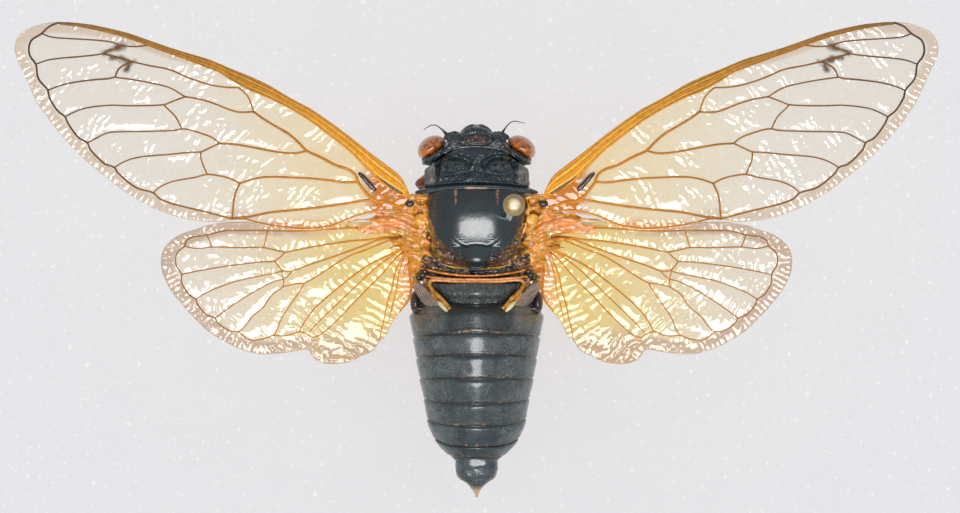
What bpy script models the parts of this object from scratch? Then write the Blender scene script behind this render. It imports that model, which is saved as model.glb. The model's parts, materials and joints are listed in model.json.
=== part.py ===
import math

import bmesh
import bpy
from mathutils import Matrix, Vector, geometry

# Periodical cicada, a male spread on its pin over a pale pinning board, at life size.
# Lengths are millimetres until a mesh is made from them. X runs to the insect's right,
# Y to its head and Z up from the middle of the pad's underside.

MM = 0.001
GAP = 0.3

# The mount: the pad, and the pin's route from its head down into the pad
PAD_SIZE = (92.0, 56.0, 9.5)
PAD_EDGE = 0.6
PIN_ENTRY = Vector((2.6, 3.13, 29.0))
PIN_LEAN = Vector((0.035, 0.095, 1.0))
PIN_TOP = 38.6
PIN_TIP = 1.5
PIN_RADIUS = 0.25
PIN_POINT = 3.0
PIN_HEAD_RADIUS = 0.87
PIN_HEAD_HEIGHT = 0.7
PIN_SIDES = 12

# Levels of the body
THORAX_TOP = 24.75
PLATE_UNDER = 25.15
BODY_POWER = 2.3
BODY_SIDES = 24

# Forward place, half width and underside of the lower thorax
THORAX_FORM = (
    (8.2, 3.1, 22.5),
    (7.2, 3.6, 21.6),
    (5.2, 4.0, 20.9),
    (2.5, 4.3, 20.5),
    (0.0, 4.5, 20.4),
    (-1.9, 4.4, 20.6),
)

# Forward place, half width, crown and underside of the abdomen
ABDOMEN_FORM = (
    (-2.3, 3.9, 26.9, 20.7),
    (-3.3, 4.9, 27.6, 20.2),
    (-4.6, 5.45, 28.2, 19.9),
    (-6.5, 5.2, 28.4, 19.7),
    (-8.5, 4.9, 28.2, 19.8),
    (-11.7, 4.3, 27.6, 20.2),
    (-14.1, 3.75, 26.8, 20.9),
    (-15.8, 2.7, 25.9, 21.8),
    (-16.4, 2.0, 25.4, 22.4),
)
TERGITE_REARS = (-4.4, -6.35, -8.05, -9.9, -11.8, -13.6, -15.4, -16.4)
TERGITE_LIP = 0.09

# Forward place, half width, crown and underside of the pygofer and its pointed tip
PYGOFER_FORM = (
    (-16.7, 1.65, 25.0, 22.6),
    (-17.6, 1.65, 24.9, 22.3),
    (-18.1, 1.5, 24.7, 22.3),
    (-18.4, 0.95, 24.5, 22.5),
    (-18.9, 0.5, 24.3, 23.0),
    (-19.65, 0.15, 24.0, 23.6),
)

# Plan outlines of the upper plates, right half, front to back
HEAD_PLAN = (
    (0.0, 10.35), (1.2, 10.2), (2.1, 10.2), (2.65, 9.9), (3.0, 9.2), (4.4, 8.2),
    (4.7, 7.8), (3.9, 7.55), (3.0, 8.15), (1.7, 8.65), (0.0, 8.85),
)
PRONOTUM_PLAN = (
    (0.0, 8.55), (1.6, 8.35), (2.8, 7.85), (3.7, 7.25), (4.25, 7.1), (4.35, 6.5),
    (4.3, 5.85), (5.0, 5.6), (5.1, 5.3), (4.9, 5.1), (3.8, 5.2), (2.0, 5.45), (0.0, 5.5),
)
MESONOTUM_PLAN = (
    (0.0, 5.2), (2.0, 5.15), (3.6, 4.9), (4.1, 4.5), (4.15, 3.4), (3.85, 2.3),
    (3.4, 1.3), (4.05, 0.75), (3.95, 0.35), (2.95, -0.1), (1.75, -0.75), (0.0, -1.05),
)
METANOTUM_PLAN = (
    (0.0, -1.35), (1.85, -1.05), (3.1, -0.4), (4.3, 0.15), (4.55, -0.6), (4.4, -1.9), (0.0, -2.0),
)

# Ridges of the plates: half width, height, and the line each follows on the right half
PRONOTUM_RIDGES = (
    (0.35, 0.3, ((0.0, 8.3), (0.0, 6.2))),
    (0.8, 0.35, ((1.9, 7.6), (2.3, 6.9))),
    (0.3, 0.3, ((0.0, 5.75), (2.6, 5.65), (4.8, 5.35))),
)
MESONOTUM_RIDGES = (
    (0.3, 0.35, ((1.7, 0.85), (0.6, 0.15), (0.6, -0.2), (1.2, -0.6))),
    (0.25, 0.3, ((3.9, 0.55), (2.8, 0.1), (1.6, -0.5), (0.0, -0.8))),
)
METANOTUM_RIDGES = ((0.2, 0.25, ((0.0, -1.7), (2.9, -1.5))),)

# Eye: middle, direction of its long axis and half sizes along, outward and up
EYE_PLACE = Vector((3.5, 8.6, 26.4))
EYE_LONG_AXIS = Vector((0.825, -0.565, 0.0))
EYE_HALF = (1.25, 1.2, 1.3)
EYE_SUNK = 0.1

# Swollen face and cheeks: place and half sizes
FACE_PLACE = (0.0, 8.85, 24.4)
FACE_HALF = (1.75, 1.8, 3.0)
FACE_TILT = math.radians(-14)
CHEEK_PLACE = (0.0, 8.6, 25.0)
CHEEK_HALF = (3.3, 1.25, 1.5)
OCELLUS_RADIUS = 0.28
OCELLI = ((0.0, 9.6), (0.72, 9.6), (-0.72, 9.6))

# Feelers: route and radius at each point, as each lies in the specimen
ANTENNA_ROUTES = {
    "left": (
        (-2.45, 9.8, 26.2, 0.34), (-2.8, 10.25, 26.4, 0.3), (-3.3, 10.65, 26.6, 0.25),
        (-3.95, 10.55, 26.6, 0.2), (-4.3, 10.3, 26.5, 0.1),
    ),
    "right": (
        (2.1, 9.7, 26.2, 0.34), (2.4, 10.5, 26.4, 0.3), (2.85, 10.95, 26.6, 0.25),
        (3.45, 10.95, 26.6, 0.2), (3.95, 10.85, 26.5, 0.1),
    ),
}
ROSTRUM_ROUTE = (
    (0.0, 7.9, 22.0, 0.6), (0.0, 6.7, 20.2, 0.5), (0.0, 4.5, 19.75, 0.4),
    (0.0, 2.0, 19.65, 0.32), (0.0, 0.6, 19.6, 0.2),
)

# Right legs, from inside the thorax to the claws. The left ones mirror them.
LEG_ROUTES = {
    "fore": (
        (1.6, 6.8, 22.0, 0.75), (2.2, 6.6, 19.7, 0.5), (3.5, 6.4, 19.3, 0.62),
        (4.8, 6.1, 19.3, 0.36), (3.9, 5.3, 18.2, 0.3), (2.7, 4.5, 16.9, 0.28),
        (1.9, 3.7, 15.6, 0.25), (1.5, 3.1, 14.6, 0.12),
    ),
    "mid": (
        (2.5, 0.8, 22.0, 0.65), (2.9, 0.5, 19.3, 0.45), (3.9, -0.1, 18.7, 0.48),
        (4.6, -0.7, 18.2, 0.33), (4.0, -2.5, 17.5, 0.27), (3.4, -4.2, 17.0, 0.26),
        (2.8, -6.0, 16.3, 0.25), (2.5, -7.1, 15.8, 0.12),
    ),
    "hind": (
        (2.3, -1.1, 22.0, 0.65), (2.5, -1.3, 19.0, 0.45), (2.5, -3.0, 18.1, 0.45),
        (2.4, -4.8, 17.2, 0.32), (2.0, -7.2, 17.1, 0.27), (1.6, -9.6, 17.1, 0.26),
        (1.2, -12.0, 16.9, 0.25), (1.0, -13.2, 16.6, 0.12),
    ),
}

# Ribbed drum plates beside the first tergite: middle, half sizes, lean and rib height
TYMBAL_PLACE = (4.15, -3.25, 26.1)
TYMBAL_HALF = (0.5, 1.2, 1.1)
TYMBAL_LEAN = math.radians(-40)
TYMBAL_RIB = 0.1
TYMBAL_SIDES = 28

# Opercula below the abdomen: middle, half sizes and thickness
OPERCULUM_PLACE = (2.25, -4.0)
OPERCULUM_HALF = (1.75, 1.6)
OPERCULUM_THICK = 0.6
OPERCULUM_SIDES = 20

# Wings. Places are out from the midline and forward of the waist.
WING_THICK = 0.5
UNDER_RIDGE = 0.4
FOREWING_LEVEL = 26.9
FOREWING_RISE = 0.012
FOREWING_TWIST = 0.05
HINDWING_LEVEL = 25.4
HINDWING_RISE = 0.008
HINDWING_TWIST = 0.04

FOREWING_OUTLINE = (
    (4.5, 4.5), (5.5, 4.7), (5.9, 6.25), (7.05, 7.2), (8.65, 8.4), (11.95, 10.95),
    (15.2, 12.9), (18.45, 14.65), (21.7, 16.0), (24.95, 16.95), (28.2, 18.1), (31.45, 18.85),
    (34.0, 19.05), (35.4, 18.9), (36.5, 18.5), (37.25, 17.85), (37.55, 17.05), (37.45, 16.3),
    (36.75, 14.75), (35.8, 12.6), (34.45, 10.7), (32.95, 8.9), (30.8, 6.95), (28.6, 5.25),
    (26.7, 4.15), (25.1, 3.45), (23.75, 3.05), (22.1, 2.85), (20.3, 2.8), (18.85, 2.95),
    (17.95, 2.6), (16.8, 2.35), (14.1, 2.1), (12.75, 2.15), (11.5, 2.4), (10.15, 3.0),
    (8.25, 3.5), (6.9, 3.6), (4.5, 3.4),
)

# Where the forewing's veins meet
FOREWING_JOINTS = {
    "tip": (33.9, 19.0), "rim1": (35.35, 18.1), "rim2": (35.8, 15.65), "rim3": (34.85, 13.5),
    "rim4": (33.45, 11.35), "rim5": (31.6, 9.25), "rim6": (29.45, 7.25), "rim7": (26.3, 5.15),
    "notch": (19.9, 3.05), "fork2": (30.3, 16.5), "dusky": (28.05, 15.85), "fork3": (29.45, 14.55),
    "cross3": (23.7, 13.0), "fork4": (25.45, 12.35), "fork5": (23.95, 10.4), "radial": (18.1, 11.75),
    "median": (20.9, 9.2), "fork6": (22.45, 8.5), "node": (19.35, 13.7), "fork7": (21.9, 6.65),
    "cubital": (19.25, 5.95), "arch": (9.65, 6.05), "stalk": (13.8, 8.6), "stigma": (28.75, 17.15),
    "costa2": (26.6, 17.2), "base": (8.6, 4.7),
}

# Half width, ridge height and route of each forewing vein
FOREWING_VEINS = (
    (0.3, 0.2, ("tip", "rim1", (36.25, 17.0), "rim2", (35.45, 14.4), "rim3", (34.05, 11.95), "rim4",
                (32.35, 9.75), "rim5", (30.25, 7.65), "rim6", (27.7, 5.65), "rim7", (24.55, 4.25),
                (22.0, 3.6), "notch")),
    (0.25, 0.15, ("rim1", (33.1, 17.75), (30.4, 17.5), "stigma", "costa2")),
    (0.25, 0.15, ("rim2", (33.75, 16.15), "fork2", "stigma")),
    (0.3, 0.2, ("fork2", "dusky")),
    (0.25, 0.15, ("rim3", (32.7, 14.15), "fork3", "dusky", (24.95, 15.2), (21.9, 13.95), "node")),
    (0.25, 0.15, ("fork3", (26.6, 14.1), "cross3", (21.3, 12.4), "radial")),
    (0.25, 0.15, ("rim4", (31.5, 12.1), "fork4", "cross3")),
    (0.25, 0.15, ("fork4", (24.8, 11.8), "fork5")),
    (0.25, 0.15, ("rim5", (30.0, 10.05), (26.6, 10.2), "fork5", (22.6, 10.15), "median")),
    (0.25, 0.15, ("rim6", (27.65, 8.05), "fork6", "median")),
    (0.25, 0.15, ("fork6", "fork7")),
    (0.25, 0.15, ("rim7", (25.25, 5.9), "fork7", (20.3, 6.45), "cubital")),
    (0.25, 0.15, ("cubital", (19.75, 4.6), "notch")),
    (0.25, 0.15, ("cubital", (17.0, 6.45), (12.5, 6.25), "arch")),
    (0.3, 0.2, ("median", (17.4, 8.7), "stalk")),
    (0.35, 0.22, ("radial", (16.4, 10.6), "stalk", (11.5, 7.5), "arch", "base")),
    (0.25, 0.15, ("radial", "node")),
    (0.5, 0.3, ((5.6, 5.4), (7.6, 6.9), (11.3, 9.9), (15.2, 12.4), "node", (22.5, 15.9), "costa2",
                (29.7, 18.1), "tip")),
    (0.3, 0.2, ((4.7, 3.95), "base", (12.0, 4.1), (17.2, 3.55), "notch")),
    (0.45, 0.35, ((4.7, 4.2), (6.2, 4.6))),
)

HINDWING_OUTLINE = (
    (4.85, 1.9), (5.9, 2.5), (7.05, 2.8), (10.7, 2.8), (14.35, 2.75), (17.45, 2.8), (20.05, 2.85),
    (22.1, 2.5), (23.75, 2.0), (24.55, 1.65), (25.2, 1.1), (25.6, 0.5), (25.75, -0.4), (25.6, -1.5),
    (24.95, -2.8), (23.5, -4.6), (22.1, -6.0), (20.7, -6.9), (18.85, -7.75), (17.5, -8.0),
    (15.85, -7.9), (13.95, -7.6), (13.45, -8.1), (12.9, -8.55), (11.95, -8.8), (10.5, -8.65),
    (8.65, -7.8), (7.95, -6.9), (7.4, -6.6), (7.05, -5.65), (6.0, -4.25), (5.6, -3.6), (5.45, -2.0),
    (5.2, -0.5), (4.85, 0.2),
)

# Where the hindwing's veins meet
HINDWING_JOINTS = {
    "front": (17.05, 2.1), "rim1": (22.0, 1.75), "rim2": (23.85, 0.85), "rim3": (24.1, -1.45),
    "rim4": (22.9, -3.5), "rim5": (21.35, -5.05), "rim6": (19.4, -6.2), "rim7": (16.55, -6.45),
    "rim8": (14.5, -6.15), "fold": (13.45, -6.65), "radial": (15.6, 0.35), "median": (16.5, -0.35),
    "cubital": (15.8, -2.4), "fork7": (14.05, -2.15), "cross1": (21.6, 0.75), "inner": (15.0, -1.15),
    "root": (6.0, 1.3),
}

# Half width, ridge height and route of each hindwing vein
HINDWING_VEINS = (
    (0.3, 0.18, ("front", (19.9, 2.1), "rim1", (23.3, 1.55), "rim2", (24.55, -0.1), "rim3",
                 (23.5, -3.1), "rim4", (22.1, -4.65), "rim5", (20.3, -6.0), "rim6", (18.0, -6.85),
                 "rim7", (15.3, -6.35), "rim8", "fold")),
    (0.3, 0.18, ("root", (9.5, 2.2), (14.35, 2.15), "front")),
    (0.25, 0.14, ("front", (17.3, 0.85))),
    (0.25, 0.14, ("rim1", "cross1")),
    (0.25, 0.14, ("rim2", "cross1", (17.4, 0.8), "radial", (12.75, 0.9), "root")),
    (0.25, 0.14, ("rim3", (20.9, -0.85), "median", "radial")),
    (0.25, 0.14, ("median", "inner", (11.5, 0.05), "root")),
    (0.25, 0.14, ("rim4", (20.05, -2.2), (17.6, -1.55), "inner")),
    (0.25, 0.14, ("rim5", (19.25, -3.55), (16.8, -2.1), "inner")),
    (0.25, 0.14, ("rim6", (18.2, -4.9), "cubital", "inner")),
    (0.25, 0.14, ("cubital", "fork7", (11.5, -0.65), (8.6, 0.7), "root")),
    (0.25, 0.14, ("rim7", (15.3, -4.1), "fork7")),
    (0.25, 0.14, ("rim8", (13.3, -4.3), (10.3, -1.8), (7.6, 0.0), "root")),
    (0.25, 0.14, ("fold", (11.1, -4.9), (7.85, -1.7), "root")),
    (0.25, 0.14, ("root", (6.6, -1.3), (7.1, -3.2), (7.7, -5.8))),
    (0.45, 0.25, ((5.1, 1.1), "root")),
)

# Colour, roughness and metallic value of each finish
FINISHES = {
    "dark_cuticle": ((0.03, 0.032, 0.042), 0.35, 0.0),
    "eye_red": ((0.55, 0.09, 0.03), 0.25, 0.0),
    "amber_cuticle": ((0.55, 0.2, 0.05), 0.4, 0.0),
    "wing_film": ((0.75, 0.68, 0.5), 0.2, 0.0),
    "tymbal_film": ((0.3, 0.24, 0.18), 0.4, 0.0),
    "pin_steel": ((0.08, 0.08, 0.09), 0.3, 0.9),
    "foam": ((0.85, 0.85, 0.88), 0.9, 0.0),
}


def clear_scene():
    for thing in list(bpy.data.objects):
        bpy.data.objects.remove(thing, do_unlink=True)


def make_finish(name):
    colour, roughness, metallic = FINISHES[name]
    finish = bpy.data.materials.get(name) or bpy.data.materials.new(name)
    finish.use_nodes = True
    shader = finish.node_tree.nodes["Principled BSDF"]
    shader.inputs["Base Color"].default_value = (*colour, 1.0)
    shader.inputs["Roughness"].default_value = roughness
    shader.inputs["Metallic"].default_value = metallic
    return finish


def make_object(name, mesh, finish, collection):
    thing = bpy.data.objects.new(name, mesh)
    collection.objects.link(thing)
    if finish:
        mesh.materials.clear()
        mesh.materials.append(make_finish(finish))
    return thing


def to_mesh(name, shape, scale=MM):
    """Ends a bmesh drawn in millimetres as a mesh in metres, with its faces pointing out."""
    bmesh.ops.recalc_face_normals(shape, faces=shape.faces)
    bmesh.ops.scale(shape, vec=(scale, scale, scale), verts=shape.verts)
    mesh = bpy.data.meshes.new(name)
    shape.to_mesh(mesh)
    shape.free()
    return mesh


def mirrored(points, side):
    return [(side * p[0], *p[1:]) for p in points]


def both_halves(plan):
    """The whole outline of a plate, from the right half given front to back."""
    return list(plan) + [(-x, y) for x, y in reversed(plan[1:-1])]


def both_sides(ridges):
    """The ridges of the right half and their mirror images. One on the midline stays single."""
    left = [r for r in ridges if any(x > 0 for x, y in r[2])]
    return list(ridges) + [(w, h, tuple((-x, y) for x, y in line)) for w, h, line in left]


def interpolate(form, place):
    """The row of a form at this place, which runs from its first row's place down to its last's."""
    for high, low in zip(form, form[1:]):
        if place >= low[0]:
            share = (high[0] - place) / (high[0] - low[0])
            return [a + (b - a) * share for a, b in zip(high, low)]
    return list(form[-1])


def oval_ring(forward, half, crown, under, middle):
    """A rounded section across the body, with its widest line at the middle level."""
    ring = []
    for k in range(BODY_SIDES):
        turn = 2 * math.pi * k / BODY_SIDES
        across = math.copysign(abs(math.cos(turn)) ** (2 / BODY_POWER), math.cos(turn))
        upward = math.copysign(abs(math.sin(turn)) ** (2 / BODY_POWER), math.sin(turn))
        reach = crown - middle if upward > 0 else middle - under
        ring.append((half * across, forward, middle + reach * upward))
    return ring


def loft(rings):
    """One closed shell through rings of equal point counts, with a flat cap at each end."""
    shape = bmesh.new()
    rows = [[shape.verts.new(point) for point in ring] for ring in rings]
    count = len(rows[0])
    for near, far in zip(rows, rows[1:]):
        for i in range(count):
            j = (i + 1) % count
            shape.faces.new((near[i], near[j], far[j], far[i]))
    shape.faces.new(rows[0])
    shape.faces.new(rows[-1])
    return shape


def nearest(point, start, end):
    """Distance from a plan point to the straight line between two others."""
    along = end - start
    share = (point - start).dot(along) / max(along.length_squared, 1e-9)
    return (point - start - along * min(1.0, max(0.0, share))).length


def ridge_height(point, ridges):
    height = 0.0
    for half_width, peak, line in ridges:
        for start, end in zip(line, line[1:]):
            away = nearest(point, start, end)
            height = max(height, peak * (1 - away / half_width))
    return height


def beside(line, offset):
    """The line moved sideways by the offset, with mitred bends."""
    moved = []
    for i, point in enumerate(line):
        before = (point - line[i - 1]).normalized() if i else None
        after = (line[i + 1] - point).normalized() if i + 1 < len(line) else None
        first = before or after
        second = after or before
        mean = (first + second).normalized()
        normal = Vector((-mean.y, mean.x))
        stretch = 1 / max(0.6, mean.dot(first))
        moved.append(point + normal * offset * stretch)
    return moved


def plan_triangles(outline, ridges, spacing):
    """Splits an outline into triangles whose edges follow each ridge's crest and feet."""
    points = [Vector(p) for p in outline]
    edges = []
    for half_width, _, line in ridges:
        for strand in (line, beside(line, half_width), beside(line, -half_width)):
            start = len(points)
            points += strand
            edges += [(start + i, start + i + 1) for i in range(len(strand) - 1)]
    if spacing:
        low = [min(p[k] for p in outline) for k in (0, 1)]
        high = [max(p[k] for p in outline) for k in (0, 1)]
        for row in range(1, int((high[1] - low[1]) / spacing) + 1):
            for column in range(1, int((high[0] - low[0]) / spacing) + 1):
                x = low[0] + (column + 0.5 * (row % 2)) * spacing
                points.append(Vector((x, low[1] + row * spacing)))
    border = [list(range(len(outline)))]
    found = geometry.delaunay_2d_cdt(points, edges, border, 1, 0.03)
    return found[0], found[2]


def plan_solid(outline, ridges, top, under, spacing=None):
    """A closed plate over an outline. top and under give its level at a plan point, and the
    ridges rise from its upper face and, more faintly, from its lower one."""
    ridges = [(w, h, [Vector(p) for p in line]) for w, h, line in ridges]
    points, triangles = plan_triangles(outline, ridges, spacing)
    shape = bmesh.new()
    upper = {}
    lower = {}
    for index in sorted({i for triangle in triangles for i in triangle}):
        point = points[index]
        rise = ridge_height(point, ridges)
        upper[index] = shape.verts.new((*point, top(point) + rise))
        lower[index] = shape.verts.new((*point, under(point) - rise * UNDER_RIDGE))
    sides = {}
    for triangle in triangles:
        shape.faces.new([upper[i] for i in triangle])
        shape.faces.new([lower[i] for i in reversed(triangle)])
        for i, j in zip(triangle, triangle[1:] + triangle[:1]):
            sides[frozenset((i, j))] = None if frozenset((i, j)) in sides else (i, j)
    for i, j in filter(None, sides.values()):
        shape.faces.new((upper[j], upper[i], lower[i], lower[j]))
    return shape


def ellipsoid(place, half, turn=Matrix(), sides=20, rows=12):
    shape = bmesh.new()
    bmesh.ops.create_uvsphere(shape, u_segments=sides, v_segments=rows, radius=1.0)
    fit = Matrix.Translation(place) @ turn @ Matrix.Diagonal((*half, 1.0))
    bmesh.ops.transform(shape, matrix=fit, verts=shape.verts)
    return shape


def rod(start, end, radius, sides=PIN_SIDES):
    """A plain closed cylinder from one point to another."""
    axis = Vector(end) - Vector(start)
    shape = bmesh.new()
    bmesh.ops.create_cone(
        shape, cap_ends=True, segments=sides, radius1=radius, radius2=radius, depth=axis.length
    )
    turn = Vector((0, 0, 1)).rotation_difference(axis).to_matrix().to_4x4()
    middle = Matrix.Translation((Vector(start) + Vector(end)) / 2)
    bmesh.ops.transform(shape, matrix=middle @ turn, verts=shape.verts)
    return shape


def apply_modifiers(thing):
    graph = bpy.context.evaluated_depsgraph_get()
    mesh = bpy.data.meshes.new_from_object(thing.evaluated_get(graph))
    thing.modifiers.clear()
    thing.data = mesh


def keep_largest(thing):
    """Leaves only the largest closed surface of a mesh, by the box that it fills."""
    shape = bmesh.new()
    shape.from_mesh(thing.data)
    left = set(shape.verts)
    groups = []
    while left:
        group = {left.pop()}
        edge = list(group)
        while edge:
            near = {e.other_vert(v) for v in edge for e in v.link_edges} - group
            group |= near
            edge = list(near)
        left -= group
        groups.append(group)

    def extent(group):
        return sum(
            max(v.co[k] for v in group) - min(v.co[k] for v in group) for k in range(3)
        )

    keep = max(groups, key=extent)
    bmesh.ops.delete(shape, geom=[v for v in shape.verts if v not in keep], context="VERTS")
    shape.to_mesh(thing.data)
    shape.free()


def fuse(thing, shapes):
    """Joins closed shapes, drawn in millimetres, to an object by one Boolean union."""
    extra = bpy.data.collections.new(thing.name + "_pieces")
    bpy.context.scene.collection.children.link(extra)
    for shape in shapes:
        make_object(thing.name + "_piece", to_mesh(thing.name, shape), None, extra)
    join = thing.modifiers.new("join", "BOOLEAN")
    join.operation = "UNION"
    join.operand_type = "COLLECTION"
    join.collection = extra
    join.solver = "EXACT"
    apply_modifiers(thing)
    for piece in list(extra.objects):
        bpy.data.objects.remove(piece, do_unlink=True)
    bpy.data.collections.remove(extra)
    keep_largest(thing)


def cut(thing, shape):
    """Takes a closed shape, drawn in millimetres, out of an object."""
    cut_mesh(thing, to_mesh(thing.name + "_cutter", shape))


def cut_mesh(thing, mesh):
    cutter = make_object(thing.name + "_cutter", mesh, None, cutters)
    cutter.hide_render = True
    cutter.display_type = "WIRE"
    slot = thing.modifiers.new("cut", "BOOLEAN")
    slot.operation = "DIFFERENCE"
    slot.object = cutter
    slot.solver = "EXACT"
    apply_modifiers(thing)
    bpy.data.objects.remove(cutter, do_unlink=True)
    keep_largest(thing)


def grown(thing):
    """A copy of an object's mesh with every face moved out by the gap."""
    shape = bmesh.new()
    shape.from_mesh(thing.data)
    bmesh.ops.recalc_face_normals(shape, faces=shape.faces)
    shape.normal_update()
    moves = [v.normal * min(1.6, v.calc_shell_factor()) * GAP * MM for v in shape.verts]
    for vert, move in zip(shape.verts, moves):
        vert.co += move
    mesh = bpy.data.meshes.new(thing.name + "_grown")
    shape.to_mesh(mesh)
    shape.free()
    return mesh


def stand_clear(thing, *neighbours):
    """Cuts an object back so that it faces each neighbour across the gap."""
    for neighbour in neighbours:
        cut_mesh(thing, grown(neighbour))


def limb(name, route, finish):
    """A round tapering stalk along a route, given as points with a radius each."""
    curve = bpy.data.curves.new(name, "CURVE")
    curve.dimensions = "3D"
    curve.bevel_depth = MM
    curve.bevel_resolution = 2
    curve.use_fill_caps = True
    spline = curve.splines.new("POLY")
    spline.points.add(len(route) - 1)
    for point, (x, y, z, radius) in zip(spline.points, route):
        point.co = (x * MM, y * MM, z * MM, 1.0)
        point.radius = radius
    guide = make_object(name + "_route", curve, None, part)
    graph = bpy.context.evaluated_depsgraph_get()
    mesh = bpy.data.meshes.new_from_object(guide.evaluated_get(graph))
    bpy.data.objects.remove(guide, do_unlink=True)
    shape = bmesh.new()
    shape.from_mesh(mesh)
    bmesh.ops.remove_doubles(shape, verts=shape.verts, dist=0.001 * MM)
    return make_object(name, to_mesh(name, shape, 1.0), finish, part)


def shade(thing):
    thing.data.shade_smooth()
    thing.data.set_sharp_from_angle(angle=math.radians(40))


# Thorax, abdomen and tip


def thorax_ring(forward, half, under):
    """The lower half of a rounded section, closed by a flat top."""
    middle = THORAX_TOP
    ring = oval_ring(forward, half, middle + 1.0, under, middle)
    flat = [(x, y, min(z, middle)) for x, y, z in ring]
    return [flat[0]] + flat[BODY_SIDES // 2 :]


def make_thorax():
    rings = [thorax_ring(*row) for row in THORAX_FORM]
    return make_object("thorax", to_mesh("thorax", loft(rings)), "dark_cuticle", part)


def abdomen_middle(crown, under):
    return under + 0.52 * (crown - under)


def abdomen_ring(forward, swell):
    _, half, crown, under = interpolate(ABDOMEN_FORM, forward)
    middle = abdomen_middle(crown, under)
    return oval_ring(forward, half + swell, crown + swell, under - swell, middle)


def abdomen_under(point):
    """Level of the abdomen's underside below a plan point."""
    _, half, crown, under = interpolate(ABDOMEN_FORM, point.y)
    middle = abdomen_middle(crown, under)
    share = min(0.97, abs(point.x) / (half + TERGITE_LIP))
    return middle - (middle - under + TERGITE_LIP) * (1 - share**BODY_POWER) ** (1 / BODY_POWER)


def make_abdomen():
    """Rings that each end in a low lip over the next."""
    rings = []
    front = ABDOMEN_FORM[0][0]
    for rear in TERGITE_REARS:
        length = front - rear
        rings.append(abdomen_ring(front, -TERGITE_LIP))
        rings.append(abdomen_ring(front - 0.35 * length, 0.0))
        rings.append(abdomen_ring(rear + 0.08, TERGITE_LIP))
        front = rear
    mesh = to_mesh("abdomen", loft(rings))
    return make_object("abdomen", mesh, "dark_cuticle", part)


def make_pygofer():
    rings = [
        oval_ring(forward, half, crown, under, (crown + under) / 2)
        for forward, half, crown, under in PYGOFER_FORM
    ]
    return make_object("pygofer", to_mesh("pygofer", loft(rings)), "amber_cuticle", part)


# Upper plates


def crown_level(forward, levels):
    return interpolate(levels, forward)[1]


def domed(levels, half, edge, power=2.2):
    """Level of a plate that is highest on the midline and falls to its edge level at its side."""

    def top(point):
        share = min(1.0, abs(point.x) / half)
        crown = crown_level(point.y, levels)
        return edge + (crown - edge) * (1 - share**power)

    return top


def level(height):
    return lambda point: height


def make_plate(name, plan, ridges, levels, half, edge):
    shape = plan_solid(
        both_halves(plan), both_sides(ridges), domed(levels, half, edge), level(PLATE_UNDER), 0.8
    )
    for vert in shape.verts:
        vert.co.z = max(vert.co.z, PLATE_UNDER)
    return make_object(name, to_mesh(name, shape), "dark_cuticle", part)


def make_plates():
    pronotum = make_plate(
        "pronotum", PRONOTUM_PLAN, PRONOTUM_RIDGES,
        ((8.6, 28.0), (7.0, 28.8), (5.9, 29.0), (5.0, 29.2)), 5.3, 26.1,
    )
    mesonotum = make_plate(
        "mesonotum", MESONOTUM_PLAN, MESONOTUM_RIDGES,
        ((5.3, 29.2), (3.4, 29.5), (1.5, 29.2), (0.4, 28.5), (-1.1, 27.4)), 4.5, 26.0,
    )
    metanotum = make_plate(
        "metanotum", METANOTUM_PLAN, METANOTUM_RIDGES, ((0.2, 27.2), (-2.1, 26.8)), 4.9, 25.9
    )
    return pronotum, mesonotum, metanotum


# Head


def eye_frame(side):
    """Turns a shape so that its X runs along the eye, its Y outward and its Z up."""
    along = Vector((side * EYE_LONG_AXIS.x, EYE_LONG_AXIS.y, 0.0)).normalized()
    outward = Vector((-side * along.y, side * along.x, 0.0))
    return Matrix((along, outward, (0, 0, 1))).transposed().to_4x4()


def make_eye(name, side):
    turn = eye_frame(side)
    place = Vector((side * EYE_PLACE.x, EYE_PLACE.y, EYE_PLACE.z))
    shape = ellipsoid(place, EYE_HALF, turn, 18, 12)
    outward = turn.to_3x3() @ Vector((0, 1, 0))
    every = shape.verts[:] + shape.edges[:] + shape.faces[:]
    bmesh.ops.bisect_plane(
        shape, geom=every, plane_co=place - outward * EYE_SUNK, plane_no=outward, clear_inner=True
    )
    bmesh.ops.holes_fill(shape, edges=shape.edges)
    return make_object(name, to_mesh(name, shape), "eye_red", part)


def make_head(eyes, thorax, pronotum):
    top = domed(((10.6, 27.3), (9.6, 27.9), (8.8, 28.0), (7.4, 27.6)), 5.6, 26.6)
    shape = plan_solid(both_halves(HEAD_PLAN), [], top, level(24.6), 0.9)
    head = make_object("head", to_mesh("head", shape), "dark_cuticle", part)
    tilt = Matrix.Rotation(FACE_TILT, 4, "X")
    pieces = [ellipsoid(FACE_PLACE, FACE_HALF, tilt), ellipsoid(CHEEK_PLACE, CHEEK_HALF)]
    for x, y in OCELLI:
        seat = (x, y, top(Vector((x, y))))
        pieces.append(ellipsoid(seat, [OCELLUS_RADIUS] * 3, Matrix(), 8, 6))
    fuse(head, pieces)
    stand_clear(head, *eyes, thorax, pronotum)
    return head


# Drum plates and their covers


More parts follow.
